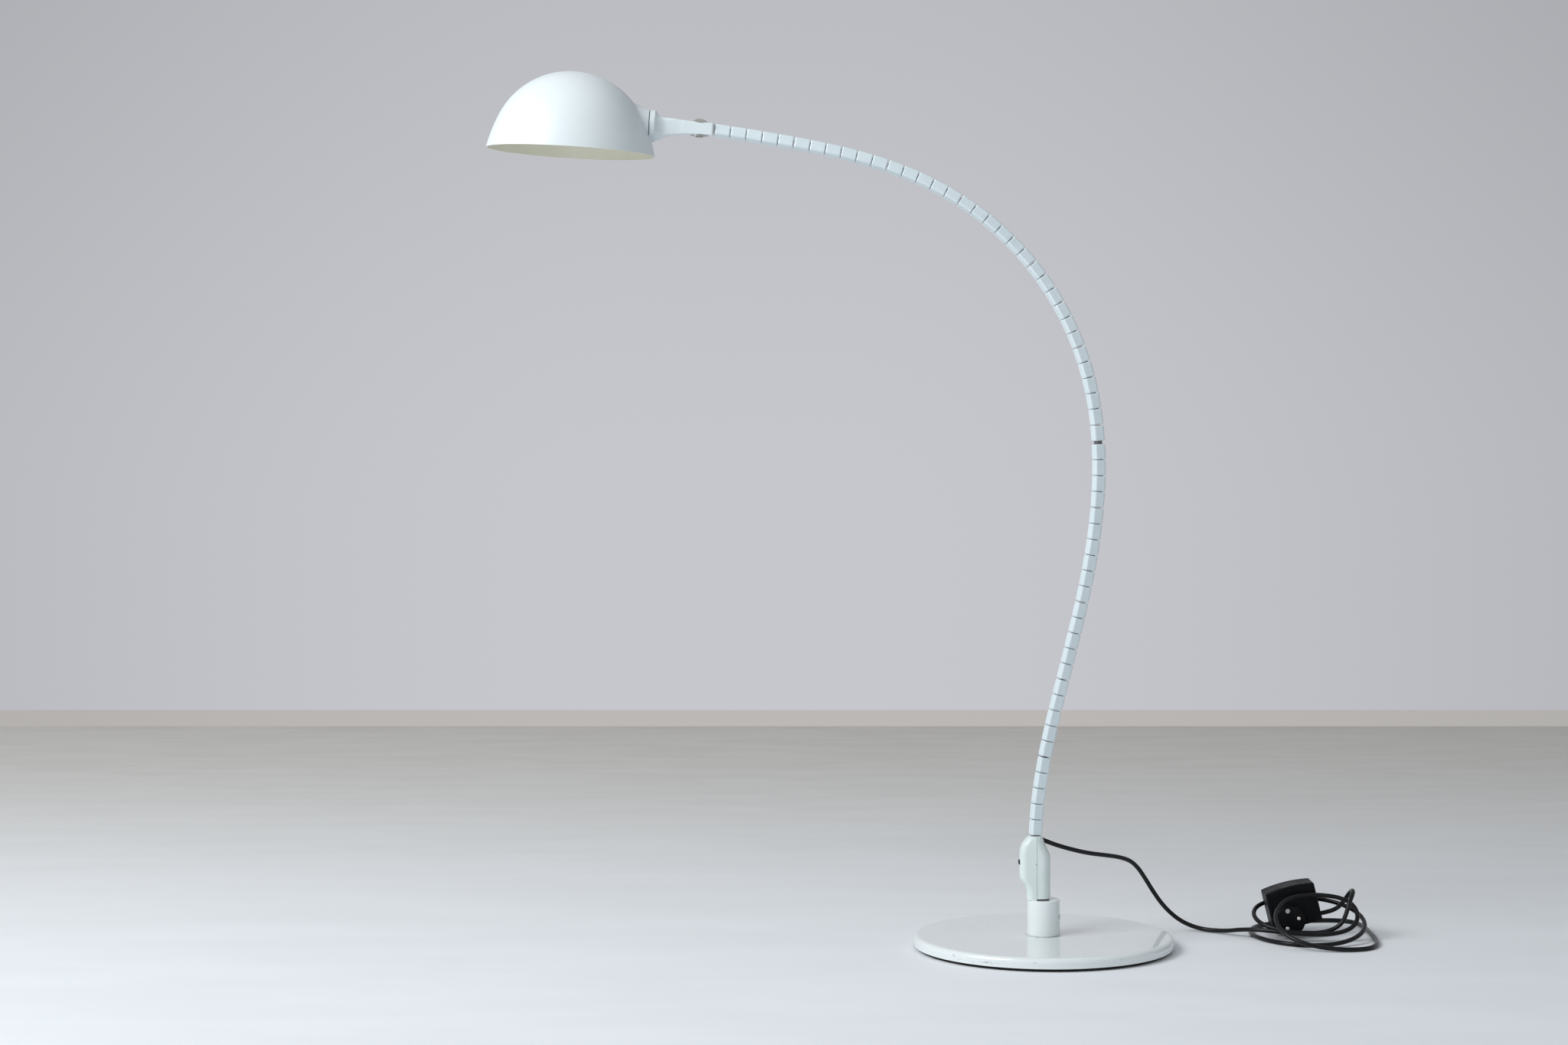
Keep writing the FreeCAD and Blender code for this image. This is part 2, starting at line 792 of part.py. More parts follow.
def make_links(body_number, one_link):
    first = sum(links_in_body[:body_number])
    links = []
    for number in range(first, first + links_in_body[body_number]):
        link = one_link.copy()
        link.Placement = neck_frame(link_middles[number]).multiply(link.Placement)
        links.append(link)
    return Part.makeCompound(links)


def neck_wire(start, end):
    """The neck's line between two lengths, one exact arc for each bend it crosses."""
    edges, low = [], 0.0
    for links, _ in neck_arcs:
        high = low + links * neck_pitch
        piece_low, piece_high = max(low, start), min(high, end)
        if piece_high - piece_low > 0.01:
            middle = (piece_low + piece_high) / 2
            edges.append(arc(neck_at(piece_low)[0], neck_at(middle)[0], neck_at(piece_high)[0]))
        low = high
    if end > low + 0.01:
        edges.append(line(neck_at(max(low, start))[0], neck_at(end)[0]))
    return Part.Wire(edges)


def tube_along(wire, start, angle, radius):
    circle = Part.makeCircle(radius, start, Vector(math.cos(math.radians(angle)), 0, math.sin(math.radians(angle))))
    shell = Part.BRepOffsetAPI.MakePipeShell(wire)
    shell.add(Part.Wire(circle))
    shell.build()
    shell.makeSolid()
    return shell.shape()


def core_span(body_number):
    start = hinge_lengths[body_number] + core_end_gap
    if body_number + 1 < len(hinge_lengths):
        return start, hinge_lengths[body_number + 1] - core_end_gap
    return start, neck_length - ferrule_length


def make_core(body_number):
    """The stretch of flexible core that carries one body's links."""
    start, end = core_span(body_number)
    wire = neck_wire(start, end)
    point, angle = neck_at(start)
    tube = tube_along(wire, point, angle, core_radius)
    bore = tube_along(wire, point, angle, core_bore_radius)
    core = tube.cut(bore)
    rims = []
    for length in (start, end):
        centre = neck_at(length)[0]
        for edge in core.Edges:
            round_edge = edge.Curve.TypeId == "Part::GeomCircle"
            if round_edge and abs(edge.Curve.Radius - core_radius) < 0.01:
                if (edge.Curve.Center - centre).Length < 0.01 and edge.Length > core_radius * 6:
                    rims.append(edge)
    if body_number + 1 == len(hinge_lengths):
        rims = rims[:1]
    return core.makeChamfer(core_chamfer, rims)


# ---- Head ----

def make_neck_tip():
    """End fitting of the neck: a pin in the last link, a tang and the eye of the pivot."""
    eye = cylinder(eye_radius, Vector(0, 0, eye_bottom), Vector(0, 0, eye_top))
    tang = block(-arm_back_reach - arm_tip_gap, 0, -tang_width / 2, tang_width / 2, eye_bottom, tang_top)
    tang = tang.cut(cylinder(eye_radius / 2, Vector(0, 0, eye_bottom - 1), Vector(0, 0, eye_top + 1)))
    fitting = in_head(eye.fuse(tang).removeSplitter())
    frame = neck_frame(neck_length)
    ferrule = cylinder(core_radius, Vector(0, 0, slip_gap - ferrule_length), Vector(0, 0, 1.0))
    ferrule.Placement = frame
    bore = cylinder(core_bore_radius, Vector(0, 0, -ferrule_length - 1), Vector(0, 0, -1))
    bore.Placement = frame
    hole = cylinder(pivot_screw_radius + running_gap, Vector(0, 0, -40), Vector(0, 0, 40))
    # The ferrule's lower edge is cut back, clear of the arm's floor as the arm turns.
    back = -arm_back_reach - arm_tip_gap
    relief = block(back + 0.1, 0, -20, 20, -20, eye_bottom)
    return fitting.fuse(ferrule).removeSplitter().cut([in_head(hole), bore, in_head(relief)])


def arm_section(along, half_width, bottom, top, corner):
    """An upright section of the arm, as a rounded rectangle."""
    middle = (top + bottom) / 2
    half = (top - bottom) / 2
    wire = rounded_rectangle(-half, half, half_width, corner, corner, 0)
    turn = FreeCAD.Rotation(AWAY, -90)
    wire.Placement = FreeCAD.Placement(Vector(along, 0, middle), turn)
    return wire


def make_bracket():
    """Moulded arm, open along its top for the lead, that flares into the shade's flange."""
    top_slope = (arm_root_top - arm_end_top) / (arm_root - arm_top_rise)

    def top_at(along):
        return arm_end_top + max(0, along - arm_top_rise) * top_slope

    straight = Part.makeLoft(
        [
            arm_section(-arm_back_reach, arm_half_width, arm_end_bottom, arm_end_top, 1.5),
            arm_section(arm_top_rise, arm_half_width, arm_end_bottom - 0.2, arm_end_top, 1.5),
            arm_section(20.0, arm_half_width, arm_end_bottom - 0.4, top_at(20.0), 1.5),
        ],
        True,
        True,
    )
    nose_room = block(-arm_back_reach - 1, arm_nose_radius, -20, 20, -20, 20)
    nose = block(-arm_back_reach, arm_nose_radius, -arm_half_width, arm_half_width, -20, 20)
    nose_edges = [edge for edge in nose.Edges if edge.BoundBox.XMax < -arm_back_reach + 1e-6]
    nose = nose.makeFillet(arm_nose_radius, [edge for edge in nose_edges if edge.BoundBox.ZLength > 20])
    straight = straight.cut(nose_room.cut(nose))
    flare = Part.makeLoft(
        [
            arm_section(20.0, arm_half_width, arm_end_bottom - 0.4, top_at(20.0), 1.5),
            arm_section(30.0, arm_half_width, -9.7, top_at(30.0), 2.0),
            arm_section(38.0, arm_half_width + 0.2, -11.3, top_at(38.0), 3.2),
            arm_section(arm_root, arm_half_width + 1.1, -14.0, arm_root_top + 0.1, 5.5),
            arm_section(50.0, 13.6, -16.4, 13.4, 9.0),
            arm_section(53.5, 16.6, -18.2, 16.6, 13.5),
            arm_section(flange_back, flange_radius - 0.3, 0.3 - flange_radius, flange_radius - 0.3, 19.0),
        ],
        True,
        False,
    )
    flange = cylinder(flange_radius, Vector(flange_back, 0, 0), Vector(flange_face, 0, 0))
    rims = [edge for edge in flange.Edges if edge.BoundBox.XLength < 1e-6]
    flange = flange.makeFillet(0.8, rims)
    arm = straight.fuse([flare, flange]).removeSplitter()
    channel_half = arm_half_width - arm_wall
    channel = block(
        -arm_back_reach - 1, channel_end, -channel_half, channel_half, arm_floor_level, 30
    )
    corners = [
        edge for edge in channel.Edges
        if edge.BoundBox.XMin > channel_end - 1 and edge.BoundBox.ZLength > 10
    ]
    channel = channel.makeFillet(4.0, corners)
    lead_way = cylinder(nipple_radius, Vector(channel_end - 5, 0, 0), Vector(flange_face + 1, 0, 0))
    screw_hole = cylinder(pivot_screw_radius + running_gap, Vector(0, 0, -30), Vector(0, 0, 30))
    head_seat = cylinder(pivot_head_radius + slip_gap, UP * pivot_head_level, UP * 30)
    dome = shade_outside().common(block(30, 80, -40, 40, -40, 40))
    return in_head(biggest_solid(arm.cut([channel, lead_way, screw_hole, head_seat, dome])))


def make_pivot_screw():
    """Dome-headed screw through the arm and the neck's eye."""
    low = arm_end_bottom - pivot_washer_thickness - pivot_nut_thickness - 0.6
    shank = cylinder(pivot_screw_radius, Vector(0, 0, low), Vector(0, 0, pivot_head_level + 1))
    radius = (pivot_head_radius ** 2 + pivot_head_height ** 2) / (2 * pivot_head_height)
    centre = Vector(0, 0, pivot_head_level + pivot_head_height - radius)
    dome = Part.makeSphere(radius, centre)
    dome = dome.common(
        cylinder(pivot_head_radius, Vector(0, 0, pivot_head_level), Vector(0, 0, pivot_head_level + 9))
    )
    slot = block(-20, 20, -0.6, 0.6, pivot_head_level + pivot_head_height - 1.4, 30)
    turned = slot.copy()
    turned.rotate(ORIGIN, UP, 35)
    return in_head(dome.fuse(shank).removeSplitter().cut(turned))


def make_pivot_washer():
    """Wide washer under the arm."""
    top = arm_end_bottom - 0.3
    lower = cylinder(pivot_washer_radius, Vector(0, 0, top - pivot_washer_thickness), Vector(0, 0, top))
    hole = cylinder(pivot_screw_radius + running_gap, Vector(0, 0, -40), Vector(0, 0, 40))
    return in_head(lower.cut(hole))


def make_pivot_nut():
    top = arm_end_bottom - 0.3 - pivot_washer_thickness
    nut = hexagon(pivot_nut_across, Vector(0, 0, top - pivot_nut_thickness), UP, pivot_nut_thickness)
    hole = cylinder(pivot_screw_radius, Vector(0, 0, top - 10), Vector(0, 0, top + 10))
    return in_head(nut.cut(hole))


def shade_outside():
    """The dome and its collar as one solid form, in the head's frame."""
    rim = -shade_drop
    x = shade_centre
    start_height = shade_flare_start
    start_radius = math.sqrt(shade_radius ** 2 - start_height ** 2)
    flare_mid = Vector(x + (start_radius + shade_rim_radius) / 2 + 1.3, 0, rim + start_height / 2)
    high = math.radians((math.degrees(math.asin(start_height / shade_radius)) + 90) / 2)
    dome_mid = Vector(x + shade_radius * math.cos(high), 0, rim + shade_radius * math.sin(high))
    edges = [
        line(Vector(x, 0, rim), Vector(x + shade_rim_radius, 0, rim)),
        arc(
            Vector(x + shade_rim_radius, 0, rim),
            flare_mid,
            Vector(x + start_radius, 0, rim + start_height),
        ),
        arc(
            Vector(x + start_radius, 0, rim + start_height),
            dome_mid,
            Vector(x, 0, rim + shade_radius),
        ),
        line(Vector(x, 0, rim + shade_radius), Vector(x, 0, rim)),
    ]
    return revolve_profile(edges, Vector(x, 0, rim), UP)


def shade_hollow():
    """The room inside the dome."""
    scale = (shade_radius - shade_wall) / shade_radius
    rim = Vector(shade_centre, 0, -shade_drop)
    inside = shade_outside()
    inside.scale(scale, rim)
    skirt = cylinder(shade_rim_radius - shade_wall - 1, rim - UP * 5, rim + UP * 0.01)
    return inside, skirt


def make_shade():
    dome = shade_outside()
    hollow, skirt = shade_hollow()
    start = flange_face + gasket_thickness
    middle = (start + collar_end) / 2
    middle_radius = (collar_radius + collar_end_radius) / 2 - 1.6
    edges = [
        line(Vector(start, 0, 0), Vector(start, 0, collar_radius)),
        arc(
            Vector(start, 0, collar_radius),
            Vector(middle, 0, middle_radius),
            Vector(collar_end, 0, collar_end_radius),
        ),
        line(Vector(collar_end, 0, collar_end_radius), Vector(collar_end, 0, 0)),
        line(Vector(collar_end, 0, 0), Vector(start, 0, 0)),
    ]
    collar = revolve_profile(edges, ORIGIN, RIGHT)
    shell = dome.fuse(collar).removeSplitter().cut(hollow)
    nipple_hole = cylinder(nipple_radius + running_gap, Vector(start - 1, 0, 0), Vector(100, 0, 0))
    pad_radius = nipple_nut_across / 2 + 3
    pad = cylinder(pad_radius, Vector(start + 1, 0, 0), Vector(shade_seat, 0, 0))
    room = cylinder(pad_radius, Vector(shade_seat, 0, 0), Vector(100, 0, 0))
    shell = shell.fuse(pad).removeSplitter().cut([nipple_hole, room])
    return in_head(biggest_solid(shell))


def make_gasket():
    ring = cylinder(gasket_radius, Vector(flange_face, 0, 0), Vector(flange_face + gasket_thickness, 0, 0))
    hole = cylinder(nipple_radius + running_gap, Vector(flange_face - 1, 0, 0), Vector(flange_face + 9, 0, 0))
    return in_head(biggest_solid(ring.cut([hole, shade_outside()])))


nipple_end = shade_seat + nipple_nut_thickness + 4.0


def make_nipple():
    """Hollow threaded tube that carries the lead through the flange into the shade."""
    start = nipple_start
    tube = cylinder(nipple_radius, Vector(start, 0, 0), Vector(nipple_end, 0, 0))
    return in_head(tube.cut(cylinder(nipple_bore_radius, Vector(start - 1, 0, 0), Vector(nipple_end + 1, 0, 0))))


def make_nipple_nut():
    """The nut inside the shade."""
    inner = hexagon(nipple_nut_across, Vector(shade_seat, 0, 0), RIGHT, nipple_nut_thickness)
    hole = cylinder(nipple_radius, Vector(shade_seat - 1, 0, 0), Vector(shade_seat + 9, 0, 0))
    return in_head(inner.cut(hole))


def make_holder():
    """Lampholder on the end of the nipple, with a mouth for the lamp's base."""
    start = shade_seat + nipple_nut_thickness
    body = block(
        start, start + holder_length, -holder_width / 2, holder_width / 2, -holder_tall / 2, holder_tall / 2
    )
    long_edges = [edge for edge in body.Edges if edge.BoundBox.XLength > holder_length / 2]
    body = body.makeFillet(4.0, long_edges)
    bore = cylinder(nipple_radius, Vector(start - 1, 0, 0), Vector(nipple_end, 0, 0))
    wires = cylinder(nipple_bore_radius, Vector(start, 0, 0), Vector(start + holder_length / 2, 0, 0))
    mouth = block(
        start + holder_length - 5, start + holder_length + 1,
        -lamp_base_width / 2 + 2, lamp_base_width / 2 - 2,
        -lamp_base_tall / 2 + 2, lamp_base_tall / 2 - 2,
    )
    return in_head(body.cut([bore, wires, mouth]))


def make_lamp_base():
    start = shade_seat + nipple_nut_thickness + holder_length
    body = block(
        start, start + lamp_base_length,
        -lamp_base_width / 2, lamp_base_width / 2, -lamp_base_tall / 2, lamp_base_tall / 2,
    )
    body = body.makeFillet(2.5, body.Edges)
    plug = block(
        start - 4.6, start + 2,
        -lamp_base_width / 2 + 2.3, lamp_base_width / 2 - 2.3,
        -lamp_base_tall / 2 + 2.3, lamp_base_tall / 2 - 2.3,
    )
    sockets = [
        cylinder(
            tube_radius,
            Vector(start + lamp_base_length - 6, side * tube_spacing / 2, 0),
            Vector(start + lamp_base_length + 1, side * tube_spacing / 2, 0),
        )
        for side in (-1, 1)
    ]
    return in_head(body.fuse(plug).removeSplitter().cut(sockets))


def make_tubes():
    """Twin glass tubes with round ends and the short bridge between them."""
    start = shade_seat + nipple_nut_thickness + holder_length + lamp_base_length - 6
    pieces = []
    for side in (-1, 1):
        y = side * tube_spacing / 2
        pieces.append(cylinder(tube_radius, Vector(start, y, 0), Vector(start + tube_length, y, 0)))
        pieces.append(Part.makeSphere(tube_radius, Vector(start + tube_length, y, 0)))
    bridge_x = start + tube_length - tube_bridge_back
    pieces.append(
        cylinder(tube_radius / 2.4, Vector(bridge_x, -tube_spacing / 2, 0), Vector(bridge_x, tube_spacing / 2, 0))
    )
    return in_head(fuse_all(pieces))


# ---- Cords ----

def rounded_route(points):
    """Straight runs joined by tangent arcs, as large as their two runs allow."""
    points = [Vector(*point) for point in points]
    edges, radii, here = [], [], points[0]
    for i in range(1, len(points) - 1):
        into = points[i] - points[i - 1]
        out = points[i + 1] - points[i]
        turn = into.getAngle(out)
        cut = 0.45 * min(into.Length, out.Length)
        into.normalize()
        out.normalize()
        start, end = points[i] - into * cut, points[i] + out * cut
        radius = cut / math.tan(turn / 2)
        inward = out - into
        inward.normalize()
        middle = points[i] + inward * radius * (1 / math.cos(turn / 2) - 1)
        edges.append(line(here, start))
        edges.append(arc(start, middle, end))
        radii.append(radius)
        here = end
    edges.append(line(here, points[-1]))
    return edges, radii


def pipe(edges, start, direction, radius):
    wire = Part.Wire(edges)
    circle = Part.Wire(Part.makeCircle(radius, start, direction))
    shell = Part.BRepOffsetAPI.MakePipeShell(wire)
    shell.add(circle)
    shell.build()
    shell.makeSolid()
    return shell.shape(), wire


def report_tube(name, tube, wire, radius):
    ideal = math.pi * radius ** 2 * wire.Length
    print(f"{name}: length {wire.Length:.1f}, volume {tube.Volume:.0f} against {ideal:.0f}")


def biarc(start, start_way, end, end_way):
    """Two tangent arcs from one point and direction to another, in space."""
    span = end - start
    ways = start_way + end_way
    a = 2 * (1 - start_way.dot(end_way))
    b = 2 * span.dot(ways)
    c = -span.dot(span)
    if abs(a) < 1e-9:
        reach = -c / b
    else:
        reach = (-b + math.sqrt(b * b - 4 * a * c)) / (2 * a)
    start_leg = start + start_way * reach
    end_leg = end - end_way * reach
    join = (start_leg + end_leg) * 0.5
    return [tangent_arc(start, start_leg, join), tangent_arc(join, end_leg, end)]


def tangent_arc(start, corner, end):
    """Arc from start to end that touches both legs of the corner."""
    into = corner - start
    out = end - corner
    reach = into.Length
    turn = into.getAngle(out)
    if turn < 1e-4:
        return line(start, end)
    into.normalize()
    out.normalize()
    inward = out - into
    inward.normalize()
    radius = reach / math.tan(turn / 2)
    middle = corner + inward * radius * (1 / math.cos(turn / 2) - 1)
    return arc(start, middle, end)


def coil_stations():
    """Places and directions round the coil: front, right, back and left of each turn."""
    fronts = [Vector(*turn[:3]) for turn in coil_turns] + [Vector(*coil_end[0][0])]
    stations = []
    for turn, front, next_front in zip(coil_turns, fronts, fronts[1:]):
        back = Vector(*turn[4:7])
        stations.append((front, RIGHT))
        stations.append(side_station(front, back, turn[3]))
        stations.append((back, RIGHT * -1))
        stations.append(side_station(back, next_front, turn[7]))
    for place, way in coil_end:
        stations.append((Vector(*place), Vector(*way).normalize()))
    return stations


def side_station(start, end, x):
    """The quarter between a turn's front and back, at its side."""
    way = Vector(0, end.y - start.y, end.z - start.z)
    return Vector(x, (start.y + end.y) / 2, (start.z + end.z) / 2), way.normalize()


def make_coil():
    """The loose coil, as one unbroken tube of quarter turns that ends in the adaptor."""
    last = Vector(*cord_route[-1])
    way = (last - Vector(*cord_route[-2])).normalize()
    stations = [(last, way)] + coil_stations() + [adaptor_inlet()]
    edges = []
    for (start, start_way), (end, end_way) in zip(stations, stations[1:]):
        edges += biarc(start, start_way, end, end_way)
    tube, wire = pipe(edges, last, way, cord_radius)
    radii = [edge.Curve.Radius for edge in edges if hasattr(edge.Curve, "Radius")]
    print(f"coil: tightest bend {min(radii):.1f}, least gap to itself {self_gap(edges):.2f}")
    report_tube("coil", tube, wire, cord_radius)
    return tube


def self_gap(edges):
    """Least gap between stretches of the coil that are not neighbours, on points."""
    step = 3.0
    points, length = [], 0.0
    for edge in edges:
        count = max(2, int(edge.Length / step))
        for i in range(count):
            parameter = edge.getParameterByLength(edge.Length * i / count)
            points.append((length + edge.Length * i / count, edge.valueAt(parameter)))
        length += edge.Length
    least = 1e9
    for i, (at, point) in enumerate(points):
        for other_at, other in points[i + 1:]:
            if other_at - at > 12 * cord_radius:
                least = min(least, (point - other).Length)
    return least - 2 * cord_radius


def make_head_lead():
    """Lead from the neck's end along the open arm into the nipple."""
    points = [(along, 0.0, up) for along, up in head_lead_route]
    edges, radii = rounded_route(points)
    way = Vector(*points[1]) - Vector(*points[0])
    tube, wire = pipe(edges, Vector(*points[0]), way, head_lead_radius)
    report_tube("head lead", tube, wire, head_lead_radius)
    return in_head(tube)


# ---- Adaptor ----

adaptor_frame = FreeCAD.Placement(
    Vector(adaptor_x, adaptor_y, adaptor_z), FreeCAD.Rotation(AWAY, -adaptor_lean)
)


def in_adaptor(shape):
    moved = shape.copy()
    moved.Placement = adaptor_frame.multiply(moved.Placement)
    return moved


def adaptor_inlet():
    """Where the lead enters the adaptor's right side, and its direction there."""
    place = Vector(adaptor_width / 2 + 0.05, inlet_depth, inlet_level)
    turn = FreeCAD.Rotation(AWAY, -adaptor_lean)
    return adaptor_frame.multVec(place), turn.multVec(Vector(-1, 0, 0))


def adaptor_box(inset, y_low, y_high):
    """The adaptor's body between two depths, with its slightly crowned top."""
    half = adaptor_width / 2 - inset
    low = -adaptor_tall / 2 + inset
    high = adaptor_tall / 2 - inset
    edges = [
        line(Vector(-half, y_low, low), Vector(half, y_low, low)),
        line(Vector(half, y_low, low), Vector(half, y_low, high)),
        arc(
            Vector(half, y_low, high),
            Vector(0, y_low, high + adaptor_crown),
            Vector(-half, y_low, high),
        ),
        line(Vector(-half, y_low, high), Vector(-half, y_low, low)),
    ]
    return Part.Face(Part.Wire(edges)).extrude(AWAY * (y_high - y_low))


boss_face = Vector(boss_x, -boss_proud, boss_z)


def on_boss(degrees, offset):
    """A place on the boss's face, by its direction and distance from the middle."""
    turn = math.radians(degrees)
    return boss_face + Vector(math.cos(turn), 0, math.sin(turn)) * offset


def pin_places():
    return on_boss(pin_turn, pin_spacing / 2), on_boss(pin_turn, -pin_spacing / 2)


def make_adaptor_front():
    box = adaptor_box(0, 0, adaptor_split)
    edges = [edge for edge in box.Edges if edge.BoundBox.YMax < 0.01 or edge.BoundBox.YLength > 5]
    box = box.makeFillet(2.2, edges)
    boss_back = Vector(boss_x, 0, boss_z)
    boss = cylinder(boss_radius, boss_back + AWAY * boss_plinth, boss_face)
    rims = [edge for edge in boss.Edges if edge.BoundBox.YLength < 1e-6]
    boss = boss.makeFillet(1.2, rims)
    hollow = adaptor_box(adaptor_wall, boss_plinth + 1, adaptor_split + 1)
    pins = [cylinder(pin_radius, place - AWAY, place + AWAY * (boss_proud + 0.5)) for place in pin_places()]
    head = on_boss(adaptor_screw_turn, adaptor_screw_offset)
    recess = cylinder(adaptor_screw_head_radius + slip_gap, head - AWAY, head + AWAY * 3)
    shank = cylinder(adaptor_screw_radius + 0.02, head, head + AWAY * (boss_proud + 0.5))
    shell = box.cut(hollow).fuse(boss).removeSplitter()
    return in_adaptor(biggest_solid(shell.cut(pins + [recess, shank])))


def make_adaptor_back():
    box = adaptor_box(0, adaptor_split + seam_gap, adaptor_deep)
    edges = [
        edge for edge in box.Edges
        if edge.BoundBox.YMin > adaptor_deep - 0.01 or edge.BoundBox.YLength > 5
    ]
    box = box.makeFillet(2.2, edges)
    hollow = adaptor_box(adaptor_wall, adaptor_split - 1, adaptor_deep - adaptor_wall)
    return in_adaptor(box.cut(hollow))


def make_plug_pins():
    pins = []
    for place in pin_places():
        pin = cylinder(pin_radius, place - AWAY * pin_length, place + AWAY * boss_proud)
        tip = [edge for edge in pin.Edges if edge.BoundBox.YMax < place.y - pin_length + 0.01]
        pins.append(pin.makeFillet(1.4, tip))
    return in_adaptor(Part.makeCompound(pins))


def make_adaptor_screw():
    head = on_boss(adaptor_screw_turn, adaptor_screw_offset) + AWAY * 3
    shank = cylinder(adaptor_screw_radius, head, head + AWAY * (boss_proud - 4))
    top = cylinder(adaptor_screw_head_radius, head - AWAY * 1.6, head)
    cross = [
        block(head.x - 2, head.x + 2, head.y - 3, head.y - 1, head.z - 0.4, head.z + 0.4),
        block(head.x - 0.4, head.x + 0.4, head.y - 3, head.y - 1, head.z - 2, head.z + 2),
    ]
    return in_adaptor(shank.fuse(top).removeSplitter().cut(cross))


def make_ballast():
    """Iron core and winding inside the adaptor."""
    half = adaptor_width / 2 - adaptor_wall - winding_gap
    tall = adaptor_tall / 2 - adaptor_wall - winding_gap
    front = boss_plinth + 1 + slip_gap
    back = adaptor_deep - adaptor_wall - slip_gap
    core = block(-half, half, front, back, -tall, tall)
    return in_adaptor(core.makeChamfer(1.5, core.Edges))


# ---- Build ----

def build_base():
    export("base_cover", make_base_cover())
    export("base_weight", make_base_weight())
    export("foot_ring", make_foot_ring())
    export("base_washer", make_base_washer())
    export("base_bolt", make_base_bolt())
    export("post", make_post())
    export("set_screw", make_set_screw())


def build_casing():
    export("casing_front", make_casing(True))
    export("casing_rear", make_casing(False))
    export("casing_screws", make_casing_screws())
    export("spigot", make_spigot())
    export("switch_button", make_button())
    export("switch_body", make_switch_body())
    export("neck_socket", make_neck_socket())
    export("terminal_block", make_terminal_block())


def build_neck():
    one_link = make_one_link()
    for number in range(len(links_in_body)):
        export(f"neck_links_{number + 1:02d}", make_links(number, one_link))
        export(f"neck_core_{number + 1:02d}", make_core(number))


def build_head():
    export("neck_tip", make_neck_tip())
    export("swivel_bracket", make_bracket())
    export("pivot_screw", make_pivot_screw())
    export("pivot_washer", make_pivot_washer())
    export("pivot_nut", make_pivot_nut())
    export("shade", make_shade())
    export("shade_gasket", make_gasket())
    export("nipple", make_nipple())
    export("nipple_nut", make_nipple_nut())
    export("head_lead", make_head_lead())
    export("lampholder", make_holder())
    export("lamp_base", make_lamp_base())
    export("lamp_tubes", make_tubes())


def build_cord():
    edges, radii = rounded_route((tuple(cord_start),) + cord_route)
    way = Vector(*cord_route[0]) - cord_start
    tube, wire = pipe(edges, cord_start, way, cord_radius)
    print("cord radii", [round(radius) for radius in radii])
    report_tube("cord", tube, wire, cord_radius)
    export("cord", tube)
    export("cord_coil", make_coil())
    export("adaptor_front", make_adaptor_front())
    export("adaptor_back", make_adaptor_back())
    export("plug_pins", make_plug_pins())
    export("adaptor_screw", make_adaptor_screw())
    export("ballast_core", make_ballast())


def main():
    os.makedirs("parts", exist_ok=True)
    print(f"neck end {neck_end.x:.1f} {neck_end.z:.1f} at {neck_end_angle:.1f} degrees")
    print(f"pivot {pivot.x:.2f} {pivot.z:.2f}")
    build_base()
    build_casing()
    build_neck()
    build_head()
    build_cord()


main()
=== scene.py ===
# %% [markdown]
# # A gooseneck reading floor lamp
#
# A round enamelled base carries a short post, and a moulded switch casing stands in the post. A
# neck of square beads bends over from it and holds a dome shade at its far end. A black lead runs
# to a plug-in adaptor on the floor. The solid pieces come in with the frame. This lesson sets the
# camera, lays the lead, and then gives each piece its finish and its light.

# %% Load the frame
import math

import bmesh
import bpy
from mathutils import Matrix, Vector


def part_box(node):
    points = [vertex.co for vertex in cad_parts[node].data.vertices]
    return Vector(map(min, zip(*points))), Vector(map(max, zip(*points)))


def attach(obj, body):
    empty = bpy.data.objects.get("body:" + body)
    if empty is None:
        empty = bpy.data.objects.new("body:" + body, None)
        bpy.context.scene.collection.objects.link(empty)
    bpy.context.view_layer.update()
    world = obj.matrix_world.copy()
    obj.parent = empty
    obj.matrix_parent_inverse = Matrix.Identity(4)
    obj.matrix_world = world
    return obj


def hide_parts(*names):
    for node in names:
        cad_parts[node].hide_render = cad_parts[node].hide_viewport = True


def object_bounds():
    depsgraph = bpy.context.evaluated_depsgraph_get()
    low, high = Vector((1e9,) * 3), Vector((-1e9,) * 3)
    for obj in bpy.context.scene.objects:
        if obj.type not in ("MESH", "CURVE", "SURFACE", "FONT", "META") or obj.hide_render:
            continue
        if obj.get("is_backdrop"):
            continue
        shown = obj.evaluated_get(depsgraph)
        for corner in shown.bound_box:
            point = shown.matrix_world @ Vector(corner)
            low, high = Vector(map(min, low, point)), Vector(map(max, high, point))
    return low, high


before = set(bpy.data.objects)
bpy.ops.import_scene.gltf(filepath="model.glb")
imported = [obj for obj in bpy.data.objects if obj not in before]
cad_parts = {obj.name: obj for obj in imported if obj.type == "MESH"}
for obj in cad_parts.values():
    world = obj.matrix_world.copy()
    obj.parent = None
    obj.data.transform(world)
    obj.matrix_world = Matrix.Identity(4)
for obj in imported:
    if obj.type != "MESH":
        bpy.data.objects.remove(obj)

cad_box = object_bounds()
print("pieces in the frame:", len(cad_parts))

# %% [markdown]
# ## Camera
#
# The photographer stood almost four metres back with a long lens, at about two thirds of the
# lamp's height, and tipped the camera a little down. A long lens keeps the base a thin ellipse. A
# close camera with a wide lens could frame the lamp too, but it would show more of the base's top.

# %% Camera
focal_pixels = 3980.0
picture_width = 2048
film_width = 36.0
camera_place = (-0.3263, -3.806, 0.702)
tip_down = 2.5
camera_data = bpy.data.cameras.new("lamp_camera")
camera_data.sensor_width = film_width
camera_data.lens = focal_pixels / picture_width * film_width
camera = bpy.data.objects.new("lamp_camera", camera_data)
camera.location = camera_place
camera.rotation_euler = (math.radians(90.0 - tip_down), 0, 0)
bpy.context.scene.collection.objects.link(camera)
bpy.context.scene.camera = camera
bpy.context.scene.view_settings.view_transform = "Standard"
print("lens", round(camera_data.lens, 2), "mm")

